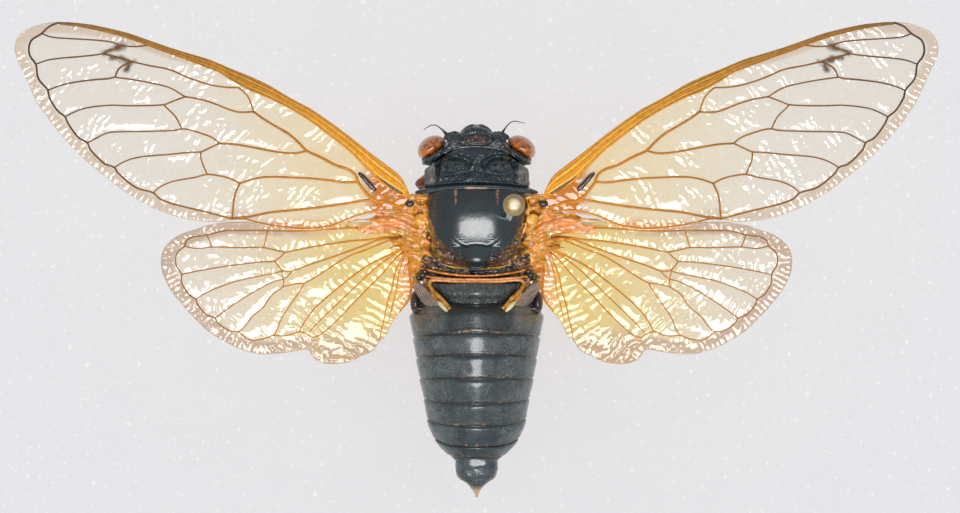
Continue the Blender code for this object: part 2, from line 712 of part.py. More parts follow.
def make_tymbal(name, side):
    """A flattened dome whose raised meridians are the ribs."""
    shape = bmesh.new()
    bmesh.ops.create_uvsphere(shape, u_segments=TYMBAL_SIDES, v_segments=8, radius=1.0)
    bmesh.ops.rotate(shape, matrix=Matrix.Rotation(math.pi / 2, 3, "X"), verts=shape.verts)
    for vert in shape.verts:
        turn = math.atan2(vert.co.z, vert.co.x)
        rib = round(turn / (2 * math.pi) * TYMBAL_SIDES) % 2
        swell = 1 + TYMBAL_RIB * rib * (1 - abs(vert.co.y))
        vert.co.x *= swell * TYMBAL_HALF[0]
        vert.co.y *= TYMBAL_HALF[1]
        vert.co.z *= swell * TYMBAL_HALF[2]
    x, y, z = TYMBAL_PLACE
    lean = Matrix.Rotation(side * TYMBAL_LEAN, 4, "Y")
    place = Matrix.Translation((side * x, y, z)) @ lean
    bmesh.ops.transform(shape, matrix=place, verts=shape.verts)
    return make_object(name, to_mesh(name, shape), "tymbal_film", part)


def make_operculum(name, side):
    outline = []
    for k in range(OPERCULUM_SIDES):
        turn = 2 * math.pi * k / OPERCULUM_SIDES
        x = OPERCULUM_PLACE[0] + OPERCULUM_HALF[0] * math.cos(turn)
        y = OPERCULUM_PLACE[1] + OPERCULUM_HALF[1] * math.sin(turn)
        outline.append((side * x, y))
    shape = plan_solid(
        outline,
        [],
        lambda p: abdomen_under(p) - GAP,
        lambda p: abdomen_under(p) - GAP - OPERCULUM_THICK,
        0.7,
    )
    return make_object(name, to_mesh(name, shape), "amber_cuticle", part)


# Wings


def forewing_level(point):
    u = abs(point.x)
    front = min(19.0, 5.0 + 0.48 * (u - 5.5))
    return FOREWING_LEVEL + FOREWING_RISE * u - FOREWING_TWIST * (front - point.y)


def hindwing_level(point):
    u = abs(point.x)
    return HINDWING_LEVEL + HINDWING_RISE * u - HINDWING_TWIST * (2.8 - point.y)


def make_wing(name, side, outline, joints, veins, middle):
    """A membrane with its veins raised in both of its faces."""

    def mirrored_line(route):
        line = [joints[p] if isinstance(p, str) else p for p in route]
        return mirrored(line, side)

    ridges = [(half, height, mirrored_line(route)) for half, height, route in veins]
    shape = plan_solid(
        mirrored(outline, side),
        ridges,
        lambda p: middle(p) + WING_THICK / 2,
        lambda p: middle(p) - WING_THICK / 2,
    )
    return make_object(name, to_mesh(name, shape), "wing_film", part)


# Pin and pad


def pin_point(height):
    return PIN_ENTRY + PIN_LEAN * (height - PIN_ENTRY.z)


def pin_hole(low, high):
    return rod(pin_point(low), pin_point(high), PIN_RADIUS + GAP)


def make_pin():
    """A turned profile, leant along the pin's route."""
    length = (pin_point(PIN_TOP) - pin_point(PIN_TIP)).length
    profile = [(0.0, length + PIN_HEAD_HEIGHT)]
    for k in range(1, 8):
        turn = math.pi * k / 8
        across = max(PIN_RADIUS, PIN_HEAD_RADIUS * math.sin(turn))
        profile.append((across, length + PIN_HEAD_HEIGHT * math.cos(turn)))
    profile += [(PIN_RADIUS, length - PIN_HEAD_HEIGHT), (PIN_RADIUS, PIN_POINT), (0.0, 0.0)]
    shape = bmesh.new()
    verts = [shape.verts.new((x, 0.0, z)) for x, z in profile]
    for a, b in zip(verts, verts[1:]):
        shape.edges.new((a, b))
    mesh = bpy.data.meshes.new("stand_pin")
    lean = Vector((0, 0, 1)).rotation_difference(PIN_LEAN).to_matrix().to_4x4()
    bmesh.ops.scale(shape, vec=(MM, MM, MM), verts=shape.verts)
    shape.to_mesh(mesh)
    shape.free()
    pin = make_object("stand_pin", mesh, "pin_steel", part)
    turn = pin.modifiers.new("turn", "SCREW")
    turn.steps = PIN_SIDES
    turn.render_steps = PIN_SIDES
    turn.use_merge_vertices = True
    turn.merge_threshold = 0.00001
    pin.matrix_world = Matrix.Translation(pin_point(PIN_TIP) * MM) @ lean
    return pin


def make_pad():
    shape = bmesh.new()
    bmesh.ops.create_cube(shape, size=1.0)
    bmesh.ops.scale(shape, vec=PAD_SIZE, verts=shape.verts)
    bmesh.ops.translate(shape, vec=(0, 0, PAD_SIZE[2] / 2), verts=shape.verts)
    upright = [e for e in shape.edges if abs(e.verts[0].co.z - e.verts[1].co.z) > 1.0]
    bmesh.ops.bevel(
        shape, geom=upright, offset=PAD_EDGE, segments=2, affect="EDGES", profile=0.5
    )
    pad = make_object("stand_base", to_mesh("stand_base", shape), "foam", part)
    cut(pad, pin_hole(PIN_TIP - GAP, PAD_SIZE[2] + 2.0))
    return pad


clear_scene()
part = bpy.data.collections.new("periodical_cicada")
cutters = bpy.data.collections.new("cutters")
bpy.context.scene.collection.children.link(part)
bpy.context.scene.collection.children.link(cutters)

thorax = make_thorax()
abdomen = make_abdomen()
pygofer = make_pygofer()
pronotum, mesonotum, metanotum = make_plates()
eyes = [make_eye("eye_left", -1), make_eye("eye_right", 1)]
head = make_head(eyes, thorax, pronotum)
stand_clear(limb("rostrum", ROSTRUM_ROUTE, "amber_cuticle"), head, thorax)

for side_name, side in (("left", -1), ("right", 1)):
    antenna = limb("antenna_" + side_name, ANTENNA_ROUTES[side_name], "dark_cuticle")
    stand_clear(antenna, head)
    for leg_name, leg_route in LEG_ROUTES.items():
        leg = limb(leg_name + "leg_" + side_name, mirrored(leg_route, side), "amber_cuticle")
        stand_clear(leg, thorax)
    tymbal = make_tymbal("tymbal_" + side_name, side)
    stand_clear(abdomen, tymbal)
    make_operculum("operculum_" + side_name, side)
    make_wing(
        "forewing_" + side_name, side, FOREWING_OUTLINE, FOREWING_JOINTS, FOREWING_VEINS,
        forewing_level,
    )
    make_wing(
        "hindwing_" + side_name, side, HINDWING_OUTLINE, HINDWING_JOINTS, HINDWING_VEINS,
        hindwing_level,
    )

make_pad()
make_pin()
for pierced in (mesonotum, thorax):
    cut(pierced, pin_hole(PIN_TIP, PIN_TOP))
for thing in part.objects:
    if thing.name != "stand_pin":
        shade(thing)
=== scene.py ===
import json
import math

import bmesh
import bpy
from mathutils import Matrix, Vector, geometry, kdtree, noise

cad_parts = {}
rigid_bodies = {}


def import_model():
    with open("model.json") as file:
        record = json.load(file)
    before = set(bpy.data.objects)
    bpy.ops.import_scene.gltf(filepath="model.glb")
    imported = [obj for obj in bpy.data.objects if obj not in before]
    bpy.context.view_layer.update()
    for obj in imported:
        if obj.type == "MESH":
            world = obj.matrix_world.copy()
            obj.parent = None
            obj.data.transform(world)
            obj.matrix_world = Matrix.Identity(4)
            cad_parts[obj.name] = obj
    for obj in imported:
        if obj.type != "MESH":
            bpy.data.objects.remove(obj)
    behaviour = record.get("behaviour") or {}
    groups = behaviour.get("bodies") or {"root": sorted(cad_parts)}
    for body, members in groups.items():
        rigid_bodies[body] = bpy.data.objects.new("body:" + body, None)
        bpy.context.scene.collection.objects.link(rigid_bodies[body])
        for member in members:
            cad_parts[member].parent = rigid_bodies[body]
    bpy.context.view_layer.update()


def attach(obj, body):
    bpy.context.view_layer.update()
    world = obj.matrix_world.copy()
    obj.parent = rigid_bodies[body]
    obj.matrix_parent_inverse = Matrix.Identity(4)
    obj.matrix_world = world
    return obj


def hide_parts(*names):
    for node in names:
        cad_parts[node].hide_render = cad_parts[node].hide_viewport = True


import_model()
print("frame loaded")

# Shapes are drawn in millimetres and scaled to metres when a piece is finished.
# X runs to the insect's right, Y to its head, Z up from the board's underside.
mm = 0.001
photo = {"midX": 476.5, "midY": 256.5, "mmPerPixel": 0.0814}
sides = (("Left", -1), ("Right", 1))


def spot(px, py):  # a place measured in the photograph, as out from the midline and forward
    return (abs(px - photo["midX"]) * photo["mmPerPixel"], (photo["midY"] - py) * photo["mmPerPixel"])


def there(px, py, z):  # the same with its side, and at a height
    return ((px - photo["midX"]) * photo["mmPerPixel"], (photo["midY"] - py) * photo["mmPerPixel"], z)


def clamp(value, low=0.0, high=1.0):
    return max(low, min(high, value))


def ease(low, high, value):  # 0 before low, 1 after high, smooth between
    share = clamp((value - low) / (high - low))
    return share * share * (3 - 2 * share)


def fade(low, high, value):  # 1 before low, 0 after high, smooth between
    return 1 - ease(low, high, value)


def hump(middle, width, value):  # 1 at the middle, 0 beyond the width
    return fade(0.0, width, abs(value - middle))


def mixed(a, b, share):
    return tuple(p + (q - p) * share for p, q in zip(a, b))


def paint(red, green, blue):  # a screen colour as the linear values that a shader takes
    return tuple(
        ((c / 255 + 0.055) / 1.055) ** 2.4 if c > 10 else c / 255 / 12.92
        for c in (red, green, blue)
    )


def grain(co, size, seed=0.0):  # soft noise, about -0.7 to 0.7, in blotches of this size
    return noise.noise(Vector((co[0] / size + seed * 7.3, co[1] / size - seed, co[2] / size)))


def ripple(place, size, rounds=3, fall=1.0, gap=2.0):  # fractal noise in waves of this size
    return noise.fractal(place / size, fall, gap, rounds)


def crumple(place, size, rounds=3):  # creased noise, about -0.4 to 0.6
    return noise.turbulence(place / size, rounds, False) - 0.4


def turned(degrees, axis="Z"):
    return Matrix.Rotation(math.radians(degrees), 4, axis)


def rowAt(rows, place):  # rows are sorted by their first value and joined smoothly
    last = len(rows) - 1
    if place <= rows[0][0]:
        return list(rows[0][1:])
    if place >= rows[last][0]:
        return list(rows[last][1:])
    i = next(k for k in range(last) if place <= rows[k + 1][0])
    a, b = rows[i], rows[i + 1]
    before, after = rows[max(i - 1, 0)], rows[min(i + 2, last)]
    span = b[0] - a[0]
    t = (place - a[0]) / span
    out = []
    for k in range(1, len(a)):
        leave = (b[k] - before[k]) / (b[0] - before[0]) * span
        reach = (after[k] - a[k]) / (after[0] - a[0]) * span
        out.append(
            (2 * t**3 - 3 * t * t + 1) * a[k] + (t**3 - 2 * t * t + t) * leave
            + (3 * t * t - 2 * t**3) * b[k] + (t**3 - t * t) * reach
        )
    return out


def smoothLine(points, step):  # the same points joined by a smooth curve
    rows = []
    along = 0.0
    for i, point in enumerate(points):
        if i:
            along += max(1e-4, (Vector(point[:3]) - Vector(points[i - 1][:3])).length)
        rows.append((along, *point))
    count = max(2, int(along / step))
    return [tuple(rowAt(rows, along * k / count)) for k in range(count + 1)]


def blob(place, half, turn=None, around=28, along=18):
    bm = bmesh.new()
    bmesh.ops.create_uvsphere(bm, u_segments=around, v_segments=along, radius=1.0)
    fit = Matrix.Translation(place) @ (turn or Matrix()) @ Matrix.Diagonal((*half, 1.0))
    bmesh.ops.transform(bm, matrix=fit, verts=bm.verts)
    return bm


def pod(around, along, shape):  # a sphere warped to shape(from 0 front to 1 rear, turn)
    bm = bmesh.new()
    bmesh.ops.create_uvsphere(bm, u_segments=around, v_segments=along, radius=1.0)
    for v in bm.verts:
        front = math.acos(clamp(v.co.z, -1.0, 1.0)) / math.pi
        v.co = Vector(shape(front, math.atan2(v.co.y, v.co.x)))
    return bm


def section(turn, half, crown, under, middle, power):  # a rounded ring across the body
    c, s = math.cos(turn), math.sin(turn)
    across = math.copysign(abs(c) ** (2 / power), c) * half
    up = math.copysign(abs(s) ** (2 / power), s)
    return across, middle + up * (crown - middle if up > 0 else middle - under)


def joined(*shapes):
    whole = shapes[0]
    for other in shapes[1:]:
        draft = bpy.data.meshes.new("draft")
        other.to_mesh(draft)
        other.free()
        whole.from_mesh(draft)
        bpy.data.meshes.remove(draft)
    return whole


def settled(bm, *modifiers):  # the shape with these modifiers applied
    draft = bpy.data.meshes.new("draft")
    bm.to_mesh(draft)
    bm.free()
    holder = bpy.data.objects.new("draft", draft)
    bpy.context.scene.collection.objects.link(holder)
    for kind, settings in modifiers:
        modifier = holder.modifiers.new(kind, kind)
        for key, value in settings.items():
            setattr(modifier, key, value)
    graph = bpy.context.evaluated_depsgraph_get()
    done = bpy.data.meshes.new_from_object(holder.evaluated_get(graph))
    out = bmesh.new()
    out.from_mesh(done)
    bpy.data.objects.remove(holder)
    bpy.data.meshes.remove(draft)
    bpy.data.meshes.remove(done)
    return out


def fused(shapes, voxel, rounds):  # one soft skin over several closed shapes
    bm = settled(joined(*shapes), ("REMESH", {"mode": "VOXEL", "voxel_size": voxel}))
    everyWay = {"use_axis_x": True, "use_axis_y": True, "use_axis_z": True}
    for _ in range(rounds):
        bmesh.ops.smooth_vert(bm, verts=bm.verts, factor=0.5, **everyWay)
    return bm


def pushed(bm, depth):  # moves every point along its normal by depth(place, normal)
    bm.normal_update()
    moves = [v.normal * depth(v.co, v.normal) for v in bm.verts]
    for v, move in zip(bm.verts, moves):
        v.co += move
    return bm


def rippled(bm, depth, size):
    return pushed(bm, lambda co, n: depth * ripple(co, size))


def tubes(paths, corners=2):  # closed round tubes; each path is a list of (x, y, z, radius)
    curve = bpy.data.curves.new("draft", "CURVE")
    curve.dimensions = "3D"
    curve.bevel_depth = 1.0
    curve.bevel_resolution = corners
    curve.use_fill_caps = True
    for path in paths:
        spline = curve.splines.new("POLY")
        spline.points.add(len(path) - 1)
        for point, (x, y, z, radius) in zip(spline.points, path):
            point.co = (x, y, z, 1.0)
            point.radius = radius
    holder = bpy.data.objects.new("draft", curve)
    bpy.context.scene.collection.objects.link(holder)
    graph = bpy.context.evaluated_depsgraph_get()
    done = bpy.data.meshes.new_from_object(holder.evaluated_get(graph))
    bm = bmesh.new()
    bm.from_mesh(done)
    bpy.data.objects.remove(holder)
    bpy.data.curves.remove(curve)
    bpy.data.meshes.remove(done)
    bmesh.ops.remove_doubles(bm, verts=bm.verts, dist=0.0005)
    return bm


def finishPiece(name, bm, finish, nodes=(), tint=None):
    bmesh.ops.recalc_face_normals(bm, faces=bm.faces)
    colours = [(*tint(v.co), 1.0)[:4] for v in bm.verts] if tint else None
    bmesh.ops.scale(bm, vec=(mm, mm, mm), verts=bm.verts)
    mesh = bpy.data.meshes.new(name)
    bm.to_mesh(mesh)
    bm.free()
    mesh.shade_smooth()
    if colours:
        layer = mesh.color_attributes.new("tint", "FLOAT_COLOR", "POINT")
        layer.data.foreach_set("color", [c for colour in colours for c in colour])
    mesh.materials.append(finish)
    piece = bpy.data.objects.new(name, mesh)
    bpy.context.scene.collection.objects.link(piece)
    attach(piece, "root")
    if nodes:
        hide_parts(*nodes)


# Materials


def fill(tree, node, inputs):  # sets a node's sockets, and links those that are given a socket
    for key, value in inputs.items():
        if isinstance(value, bpy.types.NodeSocket):
            tree.links.new(value, node.inputs[key])
        else:
            node.inputs[key].default_value = value


def put(tree, kind, inputs=None, **settings):
    node = tree.nodes.new("ShaderNode" + kind)
    for key, value in settings.items():
        setattr(node, key, value)
    fill(tree, node, inputs or {})
    return node


def newFinish(name):
    finish = bpy.data.materials.new(name)
    finish.use_nodes = True
    tree = finish.node_tree
    shader = tree.nodes["Principled BSDF"]
    place = put(tree, "TexCoord").outputs["Object"]
    return finish, tree, shader, place


def grains(tree, place, size, detail=5.0, rough=0.6, stretch=None):  # noise of this size in mm
    if stretch:
        place = put(tree, "Mapping", {"Vector": place, "Scale": stretch}).outputs[0]
    look = {"Vector": place, "Scale": 1.0 / (size * mm), "Detail": detail, "Roughness": rough}
    return put(tree, "TexNoise", look).outputs["Fac"]


def cells(tree, place, size, feature="F1"):  # distance within round cells of this size in mm
    look = {"Vector": place, "Scale": 1.0 / (size * mm)}
    return put(tree, "TexVoronoi", look, feature=feature).outputs["Distance"]


def ranged(tree, value, fromLow, fromHigh, toLow, toHigh):
    look = {"Value": value, "From Min": fromLow, "From Max": fromHigh, "To Min": toLow, "To Max": toHigh}
    return put(tree, "MapRange", look, clamp=True).outputs[0]


def between(tree, value, low, high):  # a noise's usual range stretched over these two
    return ranged(tree, value, 0.3, 0.7, low, high)


def mixColour(tree, share, a, b, blend="MIX"):
    look = {0: share, 6: a if isinstance(a, bpy.types.NodeSocket) else (*a, 1.0)}
    look[7] = b if isinstance(b, bpy.types.NodeSocket) else (*b, 1.0)
    return put(tree, "Mix", look, data_type="RGBA", blend_type=blend).outputs[2]


def shaded(tree, colour, shade):  # the colour made darker or lighter by this share
    grey = put(tree, "CombineColor", {0: shade, 1: shade, 2: shade}).outputs[0]
    return mixColour(tree, 1.0, colour, grey, "MULTIPLY")


def maths(tree, operation, a, b=0.5):
    return put(tree, "Math", {0: a, 1: b}, operation=operation).outputs[0]


def drift(tree, value, reach):  # a noise moved about zero, over this reach in all
    return maths(tree, "MULTIPLY", maths(tree, "SUBTRACT", value, 0.5), reach)


def bumped(tree, shader, heights):  # heights: pairs of a height socket and its depth in mm
    normal = None
    for height, depth in heights:
        look = {"Height": height, "Distance": depth * mm, "Strength": 1.0}
        if normal:
            look["Normal"] = normal
        normal = put(tree, "Bump", look).outputs[0]
    if shader:
        tree.links.new(normal, shader.inputs["Normal"])
    return normal


def cuticle(name, look):  # shell that takes its main colour from the piece's painted points
    finish, tree, shader, place = newFinish(name)
    painted = put(tree, "Attribute", attribute_name="tint")
    shade = between(tree, grains(tree, place, look["blotch"]), 1 - look["uneven"], 1 + look["uneven"])
    colour = shaded(tree, painted.outputs["Color"], shade)
    dust = ranged(tree, grains(tree, place, look["dustSize"], 8.0, 0.75), 0.45, 0.72, 0.0, look["dust"])
    dust = maths(tree, "MULTIPLY", dust, painted.outputs["Alpha"])
    fill(tree, shader, {
        "Base Color": mixColour(tree, dust, colour, look["dustColour"]),
        "Roughness": between(tree, grains(tree, place, look["blotch"] * 0.4), *look["rough"]),
        "Coat Weight": look["coat"], "Coat Roughness": look["coatRough"],
    })
    pits = cells(tree, place, look["pitSize"], "SMOOTH_F1")
    bumps = grains(tree, place, look["bumpSize"], 6.0, 0.6, look.get("stretch"))
    bumped(tree, shader, [(bumps, look["bumpDepth"]), (pits, look["pitDepth"])])
    return finish


shell = {
    "body": {
        "blotch": 0.9, "uneven": 0.4, "dustSize": 0.12, "dust": 0.22, "dustColour": paint(132, 140, 138),
        "rough": (0.18, 0.36), "bumpSize": 0.22, "bumpDepth": 0.045, "pitSize": 0.13, "pitDepth": 0.035,
        "coat": 0.4, "coatRough": 0.12,
    },
    "gloss": {
        "blotch": 1.4, "uneven": 0.3, "dustSize": 0.07, "dust": 0.1, "dustColour": paint(120, 130, 135),
        "rough": (0.22, 0.34), "bumpSize": 0.12, "bumpDepth": 0.012, "pitSize": 0.14, "pitDepth": 0.005,
        "coat": 1.0, "coatRough": 0.17,
    },
    "abdomen": {
        "blotch": 1.1, "uneven": 0.3, "dustSize": 0.1, "dust": 0.66, "dustColour": paint(128, 138, 138),
        "rough": (0.24, 0.4), "bumpSize": 0.2, "bumpDepth": 0.024, "pitSize": 0.1, "pitDepth": 0.014,
        "coat": 0.8, "coatRough": 0.14, "stretch": (0.35, 1.0, 1.0),
    },
    "amber": {
        "blotch": 0.6, "uneven": 0.35, "dustSize": 0.15, "dust": 0.12, "dustColour": paint(240, 205, 170),
        "rough": (0.14, 0.3), "bumpSize": 0.24, "bumpDepth": 0.05, "pitSize": 0.08, "pitDepth": 0.006,
        "coat": 0.5, "coatRough": 0.1,
    },
}
bodyShell = cuticle("bodyShell", shell["body"])
glossShell = cuticle("glossShell", shell["gloss"])
abdomenShell = cuticle("abdomenShell", shell["abdomen"])
amberShell = cuticle("amberShell", shell["amber"])

colours = {
    "blue": paint(14, 32, 42), "teal": paint(12, 36, 42), "black": paint(12, 18, 24),
    "slate": paint(42, 54, 62), "dull": paint(52, 54, 50), "rust": paint(112, 66, 24),
    "amber": paint(160, 94, 12), "gold": paint(200, 144, 34), "orange": paint(214, 128, 18),
    "pink": paint(222, 140, 88), "cream": paint(196, 184, 138), "cavity": paint(42, 14, 8),
}


def filmFinish(name, look):  # clear crinkled wing film; its tint and fog come from its points
    finish, tree, shader, place = newFinish(name)
    film = put(tree, "Attribute", attribute_name="tint")
    # pale whitish streaks: partly a whitish film, partly painted glints of the crinkled membrane
    streak = grains(tree, place, look["streakSize"], 4.0, 0.55)
    pale = ranged(tree, streak, *look["streakEdge"], 0.0, look["streak"])
    fill(tree, shader, {
        "Base Color": mixColour(tree, pale, film.outputs["Color"], look["creaseGlintColour"]),
        "Roughness": look["rough"], "Specular IOR Level": look["specular"],
    })
    fog = maths(tree, "ADD", film.outputs["Alpha"], maths(tree, "MULTIPLY", pale, look["creaseGlintFog"]))
    # cross ripples: waves outward from the wing's root, so that glints break into rungs
    apart = put(tree, "SeparateXYZ", {0: place})
    out = maths(tree, "ABSOLUTE", apart.outputs["X"])
    flat = put(tree, "CombineXYZ", {0: out, 1: apart.outputs["Y"], 2: 0.0}).outputs[0]
    ends = {0: flat, 1: Vector(look["root"]) * mm}
    reach = put(tree, "VectorMath", ends, operation="DISTANCE").outputs["Value"]
    sway = drift(tree, grains(tree, place, look["swaySize"], 2.0, 0.5), look["sway"])
    turns = maths(tree, "ADD", maths(tree, "MULTIPLY", reach, 2 * math.pi / (look["rung"] * mm)), sway)
    rungs = maths(tree, "SINE", turns, 0.0)
    patchy = ranged(tree, grains(tree, place, look["patchSize"], 2.0, 0.5), *look["patch"], 0.0, 1.0)
    calm = ranged(tree, reach, *(edge * mm for edge in look["calm"]), look["calmShare"], 1.0)
    rungs = maths(tree, "MULTIPLY", maths(tree, "MULTIPLY", rungs, patchy), calm)
    folds = maths(tree, "MULTIPLY", grains(tree, place, look["foldSize"], 2.0, 0.45), calm)
    fine = grains(tree, place, look["fineSize"], 2.0, 0.5)
    heights = [(folds, look["foldDepth"]), (rungs, look["rungDepth"]), (fine, look["fineDepth"])]
    normal = bumped(tree, shader, heights)
    through = mixColour(tree, look["tintThrough"], (1.0, 1.0, 1.0), film.outputs["Color"])
    clear = put(tree, "BsdfTransparent", {"Color": through})
    shine = put(tree, "BsdfAnisotropic", {"Roughness": look["shineRough"], "Normal": normal})
    body = put(tree, "MixShader", {0: fog, 1: clear.outputs[0], 2: shader.outputs[0]})
    whole = put(tree, "MixShader", {0: look["shine"], 1: body.outputs[0], 2: shine.outputs[0]})
    tree.links.new(whole.outputs[0], tree.nodes["Material Output"].inputs["Surface"])
    return finish


filmLook = {
    "rough": 0.5, "specular": 0.2, "tintThrough": 0.5, "shineRough": 0.08, "shine": 0.065, "streakSize": 0.7,
    "streak": 0.7, "streakEdge": (0.56, 0.66), "creaseGlintFog": 0.06, "creaseGlintColour": (0.95, 0.93, 0.88),
    "foldSize": 1.2, "foldDepth": 0.05, "fineSize": 0.3, "fineDepth": 0.004, "root": (5.0, 1.5, 0.0),
    "rung": 0.72, "rungDepth": 0.035, "swaySize": 1.6, "sway": 16.0,
    # calmer towards the root: between these two distances, and what is left at the nearer one
    "calm": (4.0, 12.0), "calmShare": 0.35,
}
wingFilms = {
    "fore": filmFinish("foreFilm", dict(filmLook, patchSize=2.2, patch=(0.52, 0.62))),
    "hind": filmFinish("hindFilm", dict(filmLook, patchSize=2.4, patch=(0.44, 0.56))),
}

veinLook = {"from": 4.0, "to": 38.0, "wander": 8.0, "fleck": (0.72, 1.18), "rough": (0.3, 0.5)}


def veinFinish(name, stops):  # amber at the root, dark brown towards the tip
    finish, tree, shader, place = newFinish(name)
    apart = put(tree, "SeparateXYZ", {0: place})
    out = maths(tree, "ABSOLUTE", apart.outputs["X"])
    out = maths(tree, "ADD", out, drift(tree, grains(tree, place, 1.6), veinLook["wander"] * mm))
    share = ranged(tree, out, veinLook["from"] * mm, veinLook["to"] * mm, 0.0, 1.0)
    ramp = put(tree, "ValToRGB", {"Fac": share})
    elements = ramp.color_ramp.elements
    for position, colour in stops:
        ends = {0.0: 0, 1.0: 1}
        stop = elements[ends[position]] if position in ends else elements.new(position)
        stop.position = position
        stop.color = (*colour, 1.0)
    fleck = ranged(tree, grains(tree, place, 0.3, 6.0, 0.7), 0.35, 0.7, *veinLook["fleck"])
    fill(tree, shader, {
        "Base Color": shaded(tree, ramp.outputs[0], fleck),
        "Roughness": between(tree, grains(tree, place, 0.5), *veinLook["rough"]),
        "Specular IOR Level": 0.3,
    })
    bumped(tree, shader, [(grains(tree, place, 0.18, 5.0, 0.6), 0.012)])
    return finish


veinBrown = veinFinish("veinBrown", (
    (0.0, paint(230, 148, 20)), (0.25, paint(242, 180, 52)), (0.5, paint(248, 212, 132)),
    (0.7, paint(218, 184, 118)),
    (0.84, paint(150, 116, 68)), (0.9, paint(86, 62, 36)), (1.0, paint(60, 44, 28)),
))
veinStem = veinFinish("veinStem", (
    (0.0, paint(242, 158, 18)), (0.35, paint(255, 206, 92)), (0.65, paint(246, 196, 112)),
    (1.0, paint(112, 80, 44)),
))
# the paler strands' finish: partly paler veins, partly a painted highlight along the forewing's front edge
veinPaleAndSheen = veinFinish("veinPaleAndSheen", (
    (0.0, paint(250, 190, 80)), (0.35, paint(255, 226, 158)), (0.65, paint(244, 202, 144)),
    (1.0, paint(120, 86, 52)),
))
print("finishes mixed")


# Wings: places are picture points of the left wing, and the right one mirrors it

foreJoints = {
    "tip": (60, 23), "rimA": (42.5, 34), "rimB": (36.5, 64.5), "rimC": (48.5, 90.5), "rimD": (65.5, 117),
    "rimE": (88, 143), "rimF": (114.5, 167.5), "rimG": (153.5, 193), "notch": (232, 219), "forkB": (104, 54),
    "dusky": (132, 62), "forkC": (115, 77.5), "crossC": (185.5, 97), "forkD": (164, 105), "forkE": (182, 129),
    "radial": (254, 112), "median": (219.5, 143.5), "forkF": (201, 152), "node": (239, 88),
    "forkG": (207.5, 174.5), "cubital": (240, 183.5), "arch": (358, 182), "stalk": (307, 151),
    "stigma": (123, 46), "costa": (150, 45.5),
}
foreOutline = (
    (409, 197), (404, 183), (398, 175), (390, 168), (370, 153), (350, 137), (330, 122), (310, 108.5),
    (290, 98), (270, 86), (250, 76.5), (230, 68.5), (210, 60), (190, 54), (170, 48), (150, 41), (130, 34),
    (110, 29), (90, 25), (70, 23), (55, 22.5), (42, 24.5), (28, 29.5), (19, 37), (15.5, 47), (16.5, 56),
    (20, 65), (25, 75), (37, 102), (45, 114), (53, 125), (72, 147), (84, 159), (98, 171), (112, 182),
    (125, 192), (138, 200), (152, 207.5), (168, 214), (185, 219), (205, 221.5), (222, 222), (232, 220),
    (245, 220.5), (256, 224.5), (270, 227.5), (290, 230), (303, 231), (320, 230), (335, 227), (352, 219.5),
    (375, 213.5), (392, 212), (408, 211),
)
# Each vein: width in picture pixels at its first and last point, then its route
foreVeins = (
    (2.6, 2.4, "tip", (50, 27), "rimA", (32, 41), (29.5, 50), (31, 57), "rimB", (38, 76), (41, 82), "rimC",
        (49.5, 97), (58, 111), "rimD", (68, 123), (79, 138), "rimE", (90, 149), (105, 164), "rimF",
        (118, 173), (136, 187.5), "rimG", (160, 199), (175, 204.5), (208, 212.5), "notch"),
    (1.8, 2.0, "rimA", (52, 37.5), (70, 39), (95, 40.5), (112, 42.5), "stigma", (135, 47), "costa"),
    (1.8, 2.2, "rimB", (48, 60.5), (62, 58.5), (80, 57), "forkB", (108, 51), (118, 49), "stigma"),
    (2.6, 2.6, "forkB", (115, 57), "dusky"),
    (1.8, 2.6, "rimC", (60, 86), (75, 82.5), (95, 80), "forkC", (118, 71), (122, 67), "dusky"),
    (2.0, 2.0, "forkC", (130, 79.5), (150, 83), (170, 88), "crossC"),
    (2.2, 2.2, "dusky", (150, 66), (170, 70), (190, 78.5), (210, 85), (225, 87.5), "node"),
    (1.8, 2.2, "rimD", (73, 113), (85, 108.5), (110, 105.5), (130, 106), "forkD", (172, 102), "crossC"),
    (2.0, 2.0, "forkD", (170, 111), (176, 117), "forkE"),
    (2.2, 2.6, "crossC", (200, 99.5), (215, 104), (230, 110), (240, 112.5), "radial"),
    (1.8, 2.2, "rimE", (97, 138), (108, 133), (120, 132), (150, 131.5), (175, 130.5), "forkE", (190, 130),
        (203, 134), (213, 138), "median"),
    (1.8, 2.2, "rimF", (125, 161.5), (137, 157.7), (150, 156), (170, 154.5), (190, 152.5), "forkF",
        (208, 149), "median"),
    (2.0, 2.0, "forkF", (201, 158), (204, 167), "forkG"),
    (1.8, 2.4, "rimG", (158, 188.5), (166, 184), (175, 181), (195, 177.5), "forkG", (220, 176), (230, 178.5),
        "cubital"),
    (2.4, 2.6, "cubital", (236, 192), (234, 200), (233, 210), "notch"),
    (2.4, 3.2, "cubital", (250, 180), (262, 177.5), (275, 177), (290, 177.5), (310, 178.5), (330, 180.5),
        (345, 182.5), "arch"),
    (2.6, 3.0, "median", (235, 144.5), (250, 147), (263, 149.5), (280, 152.5), (295, 153.5), "stalk"),
    (3.0, 4.2, "radial", (262, 118), (275, 126), (290, 135), (300, 144), "stalk", (320, 157), (335, 165),
        (350, 170.5), (356, 176), "arch", (364, 190), (372, 199), (382, 203)),
    (2.0, 2.2, "radial", (251, 103), (249, 98), (245, 93), "node"),
    (3.4, 3.0, (404, 208), (388, 203), (371, 200), (350, 203), (330, 206), (310, 208.5), (290, 210.5),
        (270, 212.5), (258, 215), (248, 217), (238, 217.5), "notch"),
    (2.2, 1.8, (402, 212), (388, 210), (375, 211), (352, 217), (335, 224.5), (320, 227.5), (303, 228.5),
        (290, 227.5), (270, 225), (256, 222), (245, 219), "notch"),
)
stemOuter = (
    (409, 193), (403, 180), (397, 173.5), (390, 168), (370, 153), (350, 137), (330, 122), (310, 108.5),
    (290, 98), (270, 86), (250, 76.5), (230, 68.5), (210, 60), (190, 54), (170, 48), (150, 41), (130, 34),
    (110, 29), (90, 25), (70, 23), (60, 23),
)
